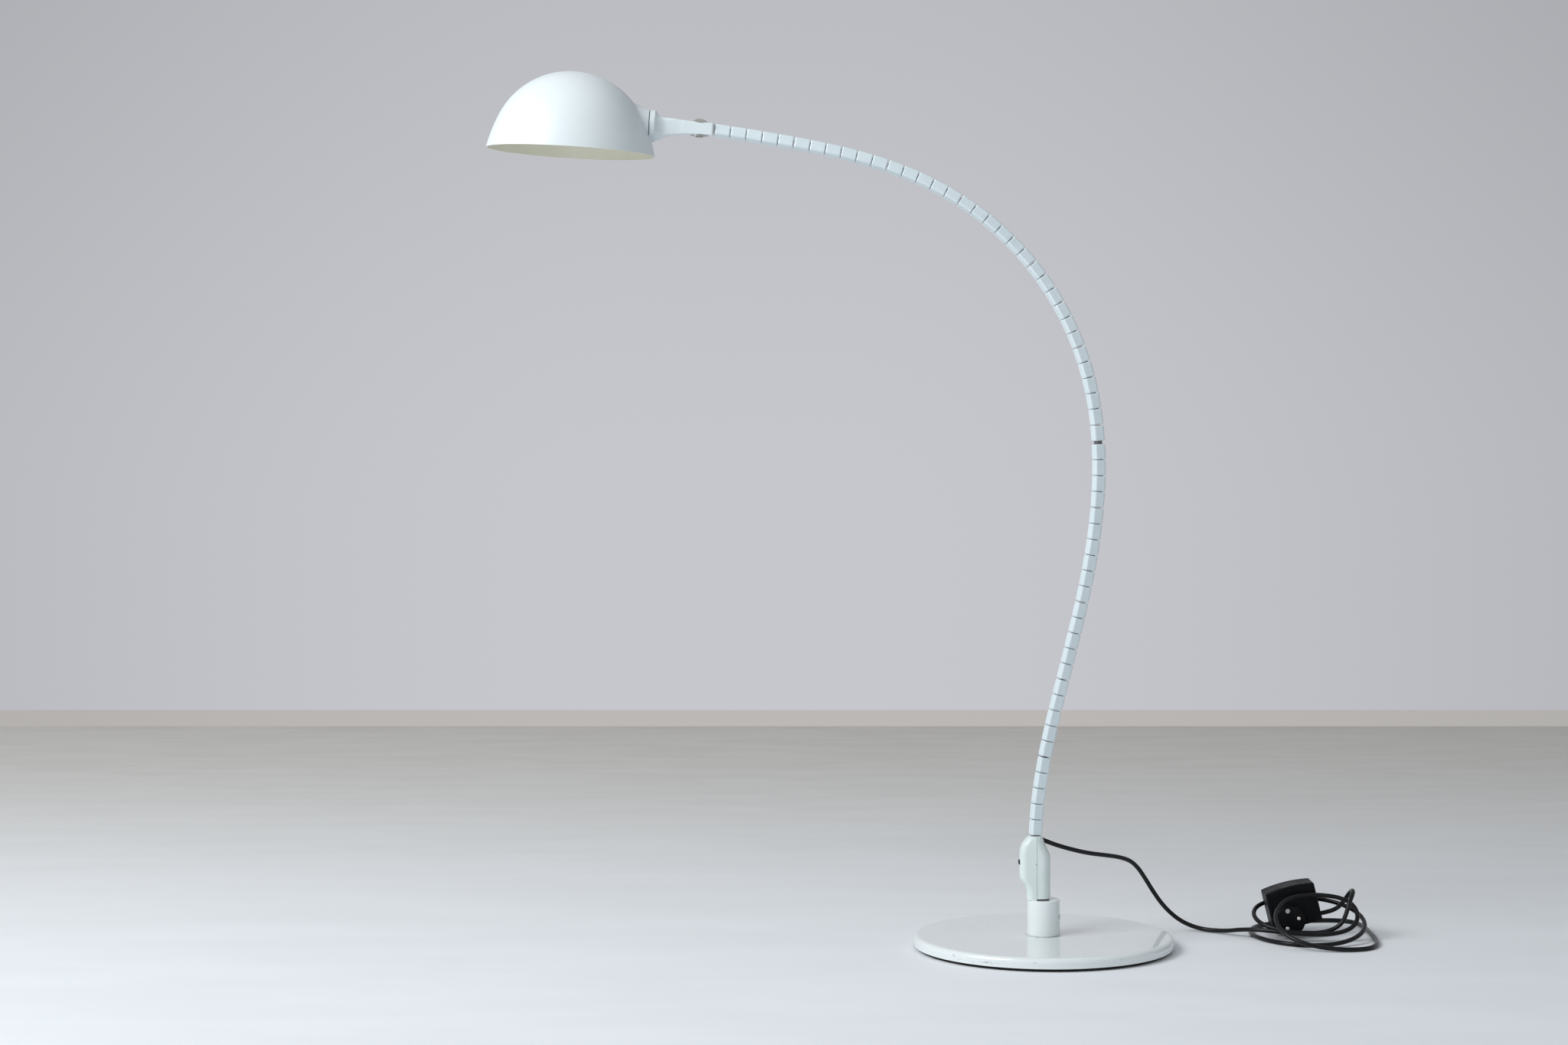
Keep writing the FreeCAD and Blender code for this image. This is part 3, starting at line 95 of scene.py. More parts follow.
# %% [markdown]
# ## Lead
#
# The lead is one length of round black rubber, a little under two metres. It leaves the casing
# level with the bottom of the neck, sinks to the floor under its own weight, and lies in a loose
# heap in front of the adaptor. One smooth curve carries the whole length, so it has no joint where
# the heap begins. The first points are the route down from the casing.

# %% Route from the casing to the heap
lead_radius = 0.00285
lead_exit = (-0.0022, 0.0, 0.1373)
lead_route = [
    (0.001, 0.0, 0.136),
    (0.017, 0.004, 0.1294),
    (0.038, 0.012, 0.1225),
    (0.059, 0.024, 0.1163),
    (0.080, 0.038, 0.1119),
    (0.100, 0.054, 0.1071),
    (0.116, 0.067, 0.1006),
    (0.1275, 0.0775, 0.0898),
    (0.138, 0.087, 0.074),
    (0.1485, 0.097, 0.0572),
    (0.160, 0.106, 0.0404),
    (0.173, 0.113, 0.0258),
    (0.187, 0.118, 0.0144),
    (0.202, 0.1195, 0.0069),
    (0.217, 0.115, 0.0033),
    (0.232, 0.105, 0.0034),
    (0.246, 0.091, 0.0056),
    (0.258, 0.076, 0.0098),
]
print("points down to the heap:", len(lead_route) + 1)

# %% [markdown]
# The heap has three wide turns that cross over each other. Each turn is described by its front,
# its back and how far it reaches to each side, as a person would sketch it. A loop then eases the
# lead from one of these places to the next, with four points to each quarter turn. To follow an
# arc and not cut its corner, a quarter turn has to pull about a sixth more than a straight stretch
# does. Modelling each turn by hand would also work, but the loop keeps the turns even.

# %% Turns of the heap
heap_turns = [
    # front x, y and z, right x, back x, y and z, left x
    (0.350, 0.036, 0.0102, 0.406, 0.344, 0.0695, 0.056, 0.295),
    (0.380, -0.030, 0.00305, 0.428, 0.396, 0.186, 0.00305, 0.273),
    (0.346, 0.000, 0.00305, 0.417, 0.346, 0.133, 0.042, 0.277),
]
heap_end = [
    ((0.345, 0.0455, 0.0105), (1.0, 0.0, 0.0)),
    ((0.389, 0.044, 0.036), (0.15, 0.1, 1.0)),
    ((0.401, 0.066, 0.062), (0.0, 1.0, 0.0)),
    ((0.390, 0.088, 0.040), (-0.62, 0.12, -0.78)),
]
points_per_quarter = 4
arc_gain = 0.1716
floor_gap = 0.0001
adaptor_lean = math.radians(14.0)
inlet = Vector((0.3637, 0.096, 0.0271))
inlet_way = Vector((-math.cos(adaptor_lean), 0, -math.sin(adaptor_lean)))


def side_place(start, end, x):
    """The lead's place at the side of a turn, between its front and its back."""
    way = Vector((0, end.y - start.y, end.z - start.z)).normalized()
    return Vector((x, (start.y + end.y) / 2, (start.z + end.z) / 2)), way


def heap_places():
    """Each place that the heap passes, with the way it runs there."""
    fronts = [Vector(turn[:3]) for turn in heap_turns] + [Vector(heap_end[0][0])]
    places = []
    for turn, front, next_front in zip(heap_turns, fronts, fronts[1:]):
        back = Vector(turn[4:7])
        places.append((front, Vector((1, 0, 0))))
        places.append(side_place(front, back, turn[3]))
        places.append((back, Vector((-1, 0, 0))))
        places.append(side_place(back, next_front, turn[7]))
    places += [(Vector(place), Vector(way).normalized()) for place, way in heap_end]
    return places + [(inlet, inlet_way)]


def ease(start, start_way, end, end_way, share):
    """A place on the smooth way from one place and direction to the next."""
    turn = start_way.angle(end_way)
    pull = (end - start).length * (1 + arc_gain * turn / (math.pi / 2))
    square, cube = share ** 2, share ** 3
    return (
        start * (2 * cube - 3 * square + 1)
        + start_way * pull * (cube - 2 * square + share)
        + end * (3 * square - 2 * cube)
        + end_way * pull * (cube - square)
    )


def lead_points():
    """All points from the casing to the adaptor, none of them in the floor."""
    points = [Vector(lead_exit)] + [Vector(place) for place in lead_route]
    place, way = points[-1], (points[-1] - points[-2]).normalized()
    for next_place, next_way in heap_places():
        for step in range(1, points_per_quarter + 1):
            share = step / points_per_quarter
            points.append(ease(place, way, next_place, next_way, share))
        place, way = next_place, next_way
    for point in points:
        point.z = max(point.z, lead_radius + floor_gap)
    return points


heap_points = lead_points()
print("points along the lead:", len(heap_points))

# %% [markdown]
# A NURBS curve of order three passes smoothly near its points, as rubber does. The order and the
# end points are set after the points are there, because before that the curve can't hold them.
# The thickness is set at each point, so that the curve's own box is as tight as its tube.

# %% Lead as one curve
lead_data = bpy.data.curves.new("mains_lead", "CURVE")
lead_data.dimensions = "3D"
lead_data.bevel_depth = 1.0
lead_data.bevel_resolution = 6
lead_data.resolution_u = 8
lead_data.use_fill_caps = True
lead_spline = lead_data.splines.new("NURBS")
lead_spline.points.add(len(heap_points) - 1)
for curve_point, place in zip(lead_spline.points, heap_points):
    curve_point.co = (place.x, place.y, place.z, 1.0)
    curve_point.radius = lead_radius
lead_spline.order_u = 3
lead_spline.use_endpoint_u = True
lead = bpy.data.objects.new("mains_lead", lead_data)
bpy.context.scene.collection.objects.link(lead)
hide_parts("cord", "cord_coil")
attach(lead, "base")
lead_length = lead_spline.calc_length()
print("lead", round(lead_length, 3), "m")

# %% [markdown]
# ## Shared surface effects
#
# Several finishes need the same few effects: a slow drift of colour, a fine moulded grain, rub
# marks, dust that lies on upward faces, and brushing on metal. Each is a node group, built once
# and placed in a finish with its own values. Painting each finish from scratch would work too, but
# a group is mended in one place.

# %% Helpers for node groups
def new_group(name, inputs, outputs):
    """An empty node group with its named values and masks."""
    group = bpy.data.node_groups.new(name, "ShaderNodeTree")
    for socket, value in inputs:
        made = group.interface.new_socket(socket, in_out="INPUT", socket_type="NodeSocketFloat")
        made.default_value = value
    for socket in outputs:
        group.interface.new_socket(socket, in_out="OUTPUT", socket_type="NodeSocketFloat")
    entry = group.nodes.new("NodeGroupInput")
    leave = group.nodes.new("NodeGroupOutput")
    return group, entry, leave


def join(tree, source, target):
    tree.links.new(source, target)


def ramp(tree, value, low, high, to_low=0.0, to_high=1.0):
    """A smooth step of a value between two levels."""
    node = tree.nodes.new("ShaderNodeMapRange")
    node.interpolation_type = "SMOOTHSTEP"
    node.inputs["From Min"].default_value = low
    node.inputs["From Max"].default_value = high
    node.inputs["To Min"].default_value = to_low
    node.inputs["To Max"].default_value = to_high
    join(tree, value, node.inputs["Value"])
    return node.outputs["Result"]


def combine(tree, kind, first, second):
    """A sum, product or other step of two values, each a socket or a number."""
    node = tree.nodes.new("ShaderNodeMath")
    node.operation = kind
    for place, value in enumerate((first, second)):
        if isinstance(value, (int, float)):
            node.inputs[place].default_value = value
        else:
            join(tree, value, node.inputs[place])
    return node.outputs[0]


def noise(tree, scale, detail=3.0, stretch=None):
    """Noise over the piece's own coordinates, which are metres on the lamp."""
    place = tree.nodes.new("ShaderNodeTexCoord").outputs["Object"]
    if stretch:
        mapping = tree.nodes.new("ShaderNodeMapping")
        mapping.inputs["Scale"].default_value = stretch
        join(tree, place, mapping.inputs["Vector"])
        place = mapping.outputs["Vector"]
    node = tree.nodes.new("ShaderNodeTexNoise")
    node.inputs["Detail"].default_value = detail
    if isinstance(scale, (int, float)):
        node.inputs["Scale"].default_value = scale
    else:
        join(tree, scale, node.inputs["Scale"])
    join(tree, place, node.inputs["Vector"])
    return node.outputs["Fac"]


print("helpers ready")

# %% [markdown]
# Paint and plastic are never one exact colour. They yellow a little in places and fade in others,
# over a hand's width. The drift group puts out a soft mask for that.

# %% Drift of colour
drift_group, entry, leave = new_group("colour_drift", [("Size", 12.0)], ["Tone"])
join(drift_group, ramp(drift_group, noise(drift_group, entry.outputs["Size"]), 0.32, 0.68),
     leave.inputs["Tone"])
print("drift group:", len(drift_group.nodes), "nodes")

# %% [markdown]
# Moulded plastic and sprayed paint have a fine grain that softens every highlight. Two layers of
# small noise give it: a coarse orange peel and a much finer grit.

# %% Fine grain
grain_group, entry, leave = new_group("fine_grain", [("Size", 900.0), ("Peel", 0.5)], ["Height"])
grit = noise(grain_group, entry.outputs["Size"], 2.0)
peel_size = combine(grain_group, "MULTIPLY", entry.outputs["Size"], 0.18)
peel = combine(grain_group, "MULTIPLY", noise(grain_group, peel_size, 1.0), entry.outputs["Peel"])
join(grain_group, combine(grain_group, "ADD", grit, peel), leave.inputs["Height"])
print("grain group:", len(grain_group.nodes), "nodes")

# %% [markdown]
# Rub marks come where hands, shoes and the vacuum cleaner touch. They are short streaks with a
# hard edge, so the noise is stretched and cut off high.

# %% Rub marks
rub_group, entry, leave = new_group("rub_marks", [("Size", 60.0), ("Amount", 0.5)], ["Mask"])
streak = noise(rub_group, entry.outputs["Size"], 5.0, (1.0, 1.0, 3.5))
patch = ramp(rub_group, noise(rub_group, 9.0, 2.0), 0.45, 0.62)
edge = ramp(rub_group, streak, 0.60, 0.66)
marks = combine(rub_group, "MULTIPLY", edge, patch)
marks = combine(rub_group, "MULTIPLY", marks, entry.outputs["Amount"])
join(rub_group, marks, leave.inputs["Mask"])
print("rub group:", len(rub_group.nodes), "nodes")

# %% [markdown]
# Dust lies only on faces that look up. The piece's own normal says which those are, and a little
# noise breaks the layer.

# %% Dust
dust_group, entry, leave = new_group("settled_dust", [("Amount", 0.2)], ["Mask"])
split = dust_group.nodes.new("ShaderNodeSeparateXYZ")
join(dust_group, dust_group.nodes.new("ShaderNodeTexCoord").outputs["Normal"], split.inputs[0])
facing = ramp(dust_group, split.outputs["Z"], 0.35, 0.95)
layer = ramp(dust_group, noise(dust_group, 220.0, 6.0), 0.35, 0.75)
layer = combine(dust_group, "MULTIPLY", facing, layer)
join(dust_group, combine(dust_group, "MULTIPLY", layer, entry.outputs["Amount"]),
     leave.inputs["Mask"])
print("dust group:", len(dust_group.nodes), "nodes")

# %% [markdown]
# Turned and drawn metal keeps fine lines from its tool. Noise that is squeezed hard along one
# direction gives them.

# %% Tool lines on metal
tool_group, entry, leave = new_group("tool_lines", [("Size", 250.0)], ["Height", "Tone"])
lines = noise(tool_group, entry.outputs["Size"], 4.0, (0.4, 0.4, 9.0))
join(tool_group, lines, leave.inputs["Height"])
join(tool_group, ramp(tool_group, lines, 0.3, 0.7), leave.inputs["Tone"])
print("tool group:", len(tool_group.nodes), "nodes")

# %% [markdown]
# Painted shade darkens a ring where a round piece meets a flat one, and paint chips along a round
# edge.
# The ring group gives a mask at a distance from the lamp's upright line.

# %% Ring round the lamp's upright line
ring_group, entry, leave = new_group("ring_mask", [("Radius", 0.1), ("Width", 0.01)], ["Mask"])
split = ring_group.nodes.new("ShaderNodeSeparateXYZ")
join(ring_group, ring_group.nodes.new("ShaderNodeTexCoord").outputs["Object"], split.inputs[0])
across = combine(ring_group, "MULTIPLY", split.outputs["X"], split.outputs["X"])
along = combine(ring_group, "MULTIPLY", split.outputs["Y"], split.outputs["Y"])
reach = combine(ring_group, "SQRT", combine(ring_group, "ADD", across, along), 0.0)
off = combine(ring_group, "SUBTRACT", reach, entry.outputs["Radius"])
off = combine(ring_group, "ABSOLUTE", off, 0.0)
off = combine(ring_group, "DIVIDE", off, entry.outputs["Width"])
join(ring_group, ramp(ring_group, off, 1.0, 0.0), leave.inputs["Mask"])
print("ring group:", len(ring_group.nodes), "nodes")

# %% [markdown]
# ## A base for every finish
#
# Each finish starts the same way: two close colours mixed by the drift, a roughness that follows
# the same drift, and a bump from grain. Rub marks and dust come on top where the piece has them.
# What makes each finish itself, such as its colours, gloss and grain size, is given by its values.

# %% Building a finish
def place_group(tree, group, **values):
    """A node group in a finish, with its own values."""
    node = tree.nodes.new("ShaderNodeGroup")
    node.node_tree = group
    for socket, value in values.items():
        node.inputs[socket].default_value = value
    return node


def blend_colour(tree, first, second, share):
    """Two colours mixed by a mask. Each is a socket or three numbers."""
    node = tree.nodes.new("ShaderNodeMix")
    node.data_type = "RGBA"
    for place, colour in ((6, first), (7, second)):
        if isinstance(colour, tuple):
            node.inputs[place].default_value = (*colour, 1.0)
        else:
            join(tree, colour, node.inputs[place])
    join(tree, share, node.inputs[0])
    return node.outputs[2]


def start_finish(name, colours, drift, gloss, grain, bump, **surface):
    """A material with drifting colour, drifting gloss and fine grain."""
    material = bpy.data.materials.new(name)
    material.use_nodes = True
    tree = material.node_tree
    skin = tree.nodes["Principled BSDF"]
    for socket, value in surface.items():
        skin.inputs[socket.replace("_", " ")].default_value = value
    tone = place_group(tree, drift_group, Size=drift).outputs["Tone"]
    colour = blend_colour(tree, colours[0], colours[1], tone)
    join(tree, ramp(tree, tone, 0.0, 1.0, gloss[0], gloss[1]), skin.inputs["Roughness"])
    height = place_group(tree, grain_group, Size=grain[0], Peel=grain[1]).outputs["Height"]
    relief = tree.nodes.new("ShaderNodeBump")
    relief.inputs["Strength"].default_value = bump[0]
    relief.inputs["Distance"].default_value = bump[1]
    join(tree, height, relief.inputs["Height"])
    join(tree, relief.outputs["Normal"], skin.inputs["Normal"])
    join(tree, colour, skin.inputs["Base Color"])
    return material, tree, skin, colour


def add_rubs(tree, skin, colour, mark, size, amount):
    """Rub marks over a finish."""
    mask = place_group(tree, rub_group, Size=size, Amount=amount).outputs["Mask"]
    colour = blend_colour(tree, colour, mark, mask)
    join(tree, colour, skin.inputs["Base Color"])
    return colour


def add_dust(tree, skin, colour, dust, amount):
    """Dust on the faces of a finish that look up."""
    mask = place_group(tree, dust_group, Amount=amount).outputs["Mask"]
    colour = blend_colour(tree, colour, dust, mask)
    join(tree, colour, skin.inputs["Base Color"])
    return colour


def cover(material, *names):
    """Give a finish to pieces of the frame."""
    for name in names:
        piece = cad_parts[name]
        piece.data.materials.clear()
        piece.data.materials.append(material)
        for polygon in piece.data.polygons:
            polygon.material_index = 0
    print(material.name, "on", len(names), "pieces")


house_dust = (0.62, 0.60, 0.55)

# %% [markdown]
# ## Enamel of the base and post
#
# The base is a spun steel cover with a thick glossy coat. It is a cool white, and so smooth that
# it mirrors the post. A clear coat over a slightly softer colour gives that double highlight.
# Near the post a dull grey ring is painted shade where the post meets the base, and round the
# edge it is scuffed grey.

# %% Enamel
post_foot_radius = 0.0225
foot_shade_top, base_top = 0.0195, 0.0172
base_edge_radius = 0.1632
enamel, tree, skin, colour = start_finish(
    "base_enamel", ((0.830, 0.880, 0.885), (0.800, 0.855, 0.862)), 9.0, (0.20, 0.30),
    (260.0, 0.8), (0.02, 0.0002), Coat_Weight=0.7, Coat_Roughness=0.05, Specular_IOR_Level=0.5)
# A dull grey ring round the post's foot is painted shade where the post meets the base.
foot_ring = place_group(tree, ring_group, Radius=post_foot_radius, Width=0.0042).outputs["Mask"]
upright = tree.nodes.new("ShaderNodeSeparateXYZ")
join(tree, tree.nodes.new("ShaderNodeTexCoord").outputs["Object"], upright.inputs[0])
low_down = ramp(tree, upright.outputs["Z"], foot_shade_top, base_top)
post_foot_shade = ramp(tree, noise(tree, 130.0, 4.0), 0.3, 0.7, 0.15, 0.6)
post_foot_shade = combine(tree, "MULTIPLY", foot_ring, post_foot_shade)
post_foot_shade = combine(tree, "MULTIPLY", post_foot_shade, low_down)
colour = blend_colour(tree, colour, (0.42, 0.43, 0.40), post_foot_shade)
edge_ring = place_group(tree, ring_group, Radius=base_edge_radius, Width=0.0016).outputs["Mask"]
scratch = ramp(tree, noise(tree, 38.0, 9.0, (1.0, 1.0, 8.0)), 0.64, 0.69)
fine = ramp(tree, noise(tree, 420.0, 4.0), 0.38, 0.55)
scuffs = combine(tree, "MULTIPLY", combine(tree, "MULTIPLY", edge_ring, scratch), fine)
colour = blend_colour(tree, colour, (0.34, 0.35, 0.34), scuffs)
colour = add_dust(tree, skin, colour, house_dust, 0.05)
add_rubs(tree, skin, colour, (0.62, 0.64, 0.62), 140.0, 0.12)
cover(enamel, "base_cover", "post")

# %% [markdown]
# ## Moulded plastics of the casing, beads and arm
#
# The casing, the beads of the neck and the arm are injection moulded, in the same cool white but
# with less shine than the base. Each came from another mould and has aged in its own way, so each
# gets its own two colours. The beads are the bluest, and their highlights are tight.

# %% Casing, beads and arm
casing, tree, skin, colour = start_finish(
    "casing_plastic", ((0.760, 0.835, 0.830), (0.725, 0.800, 0.792)), 26.0, (0.28, 0.38),
    (700.0, 0.6), (0.10, 0.0002), Specular_IOR_Level=0.45)
colour = add_rubs(tree, skin, colour, (0.55, 0.59, 0.56), 160.0, 0.18)
add_dust(tree, skin, colour, house_dust, 0.06)
cover(casing, "casing_front", "casing_rear")

bead, tree, skin, colour = start_finish(
    "bead_plastic", ((0.730, 0.815, 0.850), (0.690, 0.780, 0.815)), 34.0, (0.24, 0.36),
    (900.0, 0.5), (0.04, 0.00008), Coat_Weight=0.35, Coat_Roughness=0.12, Specular_IOR_Level=0.5)
colour = add_rubs(tree, skin, colour, (0.56, 0.62, 0.64), 200.0, 0.14)
add_dust(tree, skin, colour, house_dust, 0.05)
beads = sorted(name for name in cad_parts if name.startswith("neck_links"))
cover(bead, *beads)

arm, tree, skin, colour = start_finish(
    "arm_plastic", ((0.760, 0.830, 0.850), (0.725, 0.800, 0.820)), 22.0, (0.26, 0.38),
    (700.0, 0.6), (0.10, 0.0002), Specular_IOR_Level=0.45)
colour = add_rubs(tree, skin, colour, (0.58, 0.62, 0.63), 170.0, 0.14)
add_dust(tree, skin, colour, house_dust, 0.07)
cover(arm, "swivel_bracket")

# %% [markdown]
# ## Paint of the shade
#
# The shade is spun aluminium, sprayed satin white outside. Its inside is a warmer cream, partly
# paint baked by the lamp and partly painted warm light bounced inside the dome. One piece carries
# both, so the finish has to know inside from outside.
# The normal of the inside points back to the middle of the dome, and the normal of the outside
# points away from it. The product of the normal and the direction from the middle tells them apart.

# %% Middle of the dome
lip_height = 0.004
shade_low, shade_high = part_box("shade")
mouth = Vector(((shade_low[0] + shade_high[0]) / 2, 0.0, shade_low[2] + lip_height))
print("mouth of the shade", [round(value, 3) for value in mouth])

# %% Shade paint
turnover = 0.004
shade, tree, skin, colour = start_finish(
    "shade_paint", ((0.775, 0.835, 0.855), (0.750, 0.812, 0.835)), 8.0, (0.34, 0.44),
    (520.0, 0.9), (0.10, 0.0003), Specular_IOR_Level=0.4)
coordinates = tree.nodes.new("ShaderNodeTexCoord")
outward = tree.nodes.new("ShaderNodeVectorMath")
outward.operation = "SUBTRACT"
outward.inputs[1].default_value = mouth
join(tree, coordinates.outputs["Object"], outward.inputs[0])
facing = tree.nodes.new("ShaderNodeVectorMath")
facing.operation = "DOT_PRODUCT"
join(tree, outward.outputs["Vector"], facing.inputs[0])
join(tree, coordinates.outputs["Normal"], facing.inputs[1])
inside = ramp(tree, facing.outputs["Value"], turnover, -turnover)
# The inside's cream is partly the paint's own yellowing and partly painted warm light bounced
# inside the dome.
inside_cream_and_bounce = blend_colour(tree, (0.80, 0.785, 0.655), (0.74, 0.72, 0.58),
                     ramp(tree, noise(tree, 14.0, 4.0), 0.3, 0.75))
colour = add_dust(tree, skin, colour, house_dust, 0.06)
colour = blend_colour(tree, colour, inside_cream_and_bounce, inside)
join(tree, colour, skin.inputs["Base Color"])
cover(shade, "shade")

# %% [markdown]
# ## Black rubber and black plastic
#
# The lead is satin black rubber. It picks up pale dust from the floor. The adaptor is moulded in
# black plastic with a matt texture, and its faces are faintly rubbed. Black that is written as
# pure black would lose its form, so both colours are a very dark grey.

# %% Black finishes
rubber, tree, skin, colour = start_finish(
    "lead_rubber", ((0.004, 0.004, 0.005), (0.007, 0.007, 0.008)), 30.0, (0.22, 0.32),
    (600.0, 0.4), (0.04, 0.0001), Specular_IOR_Level=0.28)
colour = add_rubs(tree, skin, colour, (0.025, 0.025, 0.024), 170.0, 0.4)
add_dust(tree, skin, colour, (0.20, 0.19, 0.18), 0.03)
lead.data.materials.append(rubber)
cover(rubber, "cord", "cord_coil", "head_lead")

black_case, tree, skin, colour = start_finish(
    "adaptor_plastic", ((0.003, 0.003, 0.004), (0.006, 0.0065, 0.008)), 40.0, (0.40, 0.52),
    (1500.0, 0.3), (0.25, 0.0002), Specular_IOR_Level=0.12)
colour = add_rubs(tree, skin, colour, (0.015, 0.015, 0.015), 120.0, 0.5)
add_dust(tree, skin, colour, (0.20, 0.19, 0.18), 0.04)
cover(black_case, "adaptor_front", "adaptor_back", "switch_button", "switch_body", "spigot")

foot_rubber, tree, skin, colour = start_finish(
    "foot_rubber", ((0.016, 0.016, 0.016), (0.030, 0.029, 0.028)), 24.0, (0.62, 0.78),
    (420.0, 0.8), (0.30, 0.0004), Specular_IOR_Level=0.3)
add_dust(tree, skin, colour, (0.30, 0.29, 0.27), 0.3)
cover(foot_rubber, "foot_ring", "shade_gasket")

# %% [markdown]
# ## Metals
#
# Steel fasteners are dull and lined by their tools. The plug's pins and the pivot screw are
# plated, so they mirror the room. The set screw in the post is blackened steel, written nearly
# black so that it also carries the painted shade of the hole it sits in. Bare metal needs
# metallic set to one, and its look then comes from roughness and relief.
# The cast weight inside the base has a rusty skin, so it has less. It is rough and nearly black.

# %% Metal finishes
def start_metal(name, colours, gloss, lines, bump):
    """A bare metal with tool lines in its gloss and its relief."""
    material = bpy.data.materials.new(name)
    material.use_nodes = True
    tree = material.node_tree
    skin = tree.nodes["Principled BSDF"]
    skin.inputs["Metallic"].default_value = 1.0
    tool = place_group(tree, tool_group, Size=lines)
    tone = place_group(tree, drift_group, Size=70.0).outputs["Tone"]
    colour = blend_colour(tree, colours[0], colours[1], tone)
    join(tree, colour, skin.inputs["Base Color"])
    dullness = ramp(tree, tool.outputs["Tone"], 0.0, 1.0, gloss[0], gloss[1])
    join(tree, dullness, skin.inputs["Roughness"])
    relief = tree.nodes.new("ShaderNodeBump")
    relief.inputs["Strength"].default_value = bump[0]
    relief.inputs["Distance"].default_value = bump[1]
    join(tree, tool.outputs["Height"], relief.inputs["Height"])
    join(tree, relief.outputs["Normal"], skin.inputs["Normal"])
    return material


steel = start_metal(
    "zinc_steel", ((0.52, 0.52, 0.51), (0.62, 0.62, 0.60)), (0.28, 0.42), 300.0, (0.20, 0.0002))
cover(steel, "base_washer", "base_bolt", "casing_screws", "neck_socket", "neck_tip",
      "pivot_washer", "pivot_nut", "nipple", "nipple_nut", "adaptor_screw")
# Nearly black, so the set screw also stands in as painted shade for its hole.
set_screw_and_hole_shade = start_metal(
    "blackened_steel_hole_shade", ((0.020, 0.020, 0.021), (0.035, 0.034, 0.033)), (0.40, 0.55), 300.0,
    (0.20, 0.0002))
cover(set_screw_and_hole_shade, "set_screw")
plated = start_metal(
    "polished_plating", ((0.72, 0.67, 0.58), (0.80, 0.77, 0.70)), (0.10, 0.22), 420.0,
    (0.10, 0.0001))
cover(plated, "pivot_screw", "plug_pins")
core = start_metal(
    "core_steel", ((0.16, 0.16, 0.17), (0.25, 0.25, 0.25)), (0.38, 0.52), 180.0, (0.40, 0.0004))
cores = sorted(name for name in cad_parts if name.startswith("neck_core"))
cover(core, *cores)
iron = start_finish(
    "cast_iron", ((0.060, 0.058, 0.056), (0.110, 0.100, 0.092)), 30.0, (0.62, 0.80),
    (240.0, 1.0), (0.7, 0.0008), Metallic=0.6)[0]
cover(iron, "base_weight", "ballast_core")

# %% [markdown]
# ## Lamp and its holder
#
# The lamp's twin tubes are glass with a white powder inside, which shows as a milky body under a
# clear shine. The holder and the lamp's base are pale moulded plastic that has yellowed in the
# heat. The lamp is off, so nothing here glows.

# %% Lamp finishes
burnt_reach, burnt_end = 0.016, 0.002
tube, tree, skin, colour = start_finish(
    "powder_glass", ((0.86, 0.86, 0.83), (0.80, 0.80, 0.78)), 30.0, (0.12, 0.20),
    (500.0, 0.3), (0.03, 0.0001), Coat_Weight=0.9, Coat_Roughness=0.03)
tube_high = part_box("lamp_tubes")[1]
length_along = tree.nodes.new("ShaderNodeSeparateXYZ")
join(tree, tree.nodes.new("ShaderNodeTexCoord").outputs["Object"], length_along.inputs[0])
burnt = ramp(
    tree, length_along.outputs["X"], tube_high[0] - burnt_reach, tube_high[0] - burnt_end)
colour = blend_colour(tree, colour, (0.52, 0.49, 0.45), burnt)
join(tree, colour, skin.inputs["Base Color"])
cover(tube, "lamp_tubes")
pale = start_finish(
    "heated_plastic", ((0.72, 0.70, 0.62), (0.64, 0.60, 0.50)), 40.0, (0.40, 0.52),
    (800.0, 0.5), (0.15, 0.0002))[0]
cover(pale, "lampholder", "lamp_base", "terminal_block")

# %% [markdown]
# ## Floor and wall
#
# The lamp stands on a pale painted floor, with a pale wall two and a half metres behind it. They
# belong to the stage and not to the lamp. The floor is a real surface, so it takes the lamp's soft
# shadow; its colour darkens towards the wall as painted shade. The wall shows its own colour to the
# camera and only bounces light otherwise, so that its tone stays as it is written whatever the
# lamps do; its darker sides and top are painted shade.

# %% Stage surfaces
stage_reach = 7.0
wall_distance = 2.536
wall_foot, wall_height = 0.03, 6.0
skirting_depth, skirting_height = 0.01, 0.034


def upright(y, low, high):
    """The corners of an upright sheet that crosses the stage."""
    left, right = -stage_reach, stage_reach
    return [(left, y, low), (right, y, low), (right, y, high), (left, y, high)]


def sheet_of(name, corners):
    """A flat stage piece with the given corners."""
    mesh = bpy.data.meshes.new(name)
    shape = bmesh.new()
    shape.faces.new([shape.verts.new(corner) for corner in corners])
    shape.to_mesh(mesh)
    shape.free()
    piece = bpy.data.objects.new(name, mesh)
    bpy.context.scene.collection.objects.link(piece)
    piece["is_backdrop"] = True
    return piece


floor = sheet_of("studio_floor", [
    (-stage_reach, -stage_reach, 0), (stage_reach, -stage_reach, 0),
    (stage_reach, wall_distance, 0), (-stage_reach, wall_distance, 0)])
wall = sheet_of("studio_wall", upright(wall_distance, wall_foot, wall_height))
skirting = sheet_of(
    "studio_skirting", upright(wall_distance - skirting_depth, 0, skirting_height))
print("stage of", len([floor, wall, skirting]), "sheets")

# %% [markdown]
# The floor and the wall are seen from one side only. From behind or from beneath they are clear,
# so that the back of the lamp and its underside can be looked at too. Each sheet's front is the
# side that its corners turn anticlockwise on.

# %% One side only
def show_one_side(tree, surface, output):
    """A surface in front, and nothing at all behind."""
    clear = tree.nodes.new("ShaderNodeBsdfTransparent")
    side = tree.nodes.new("ShaderNodeNewGeometry")
    choice = tree.nodes.new("ShaderNodeMixShader")
    join(tree, side.outputs["Backfacing"], choice.inputs[0])
    join(tree, surface, choice.inputs[1])
    join(tree, clear.outputs[0], choice.inputs[2])
    join(tree, choice.outputs[0], output.inputs["Surface"])


for sheet in (floor, wall, skirting):
    print(sheet.name, "faces", [round(value) for value in sheet.data.polygons[0].normal])

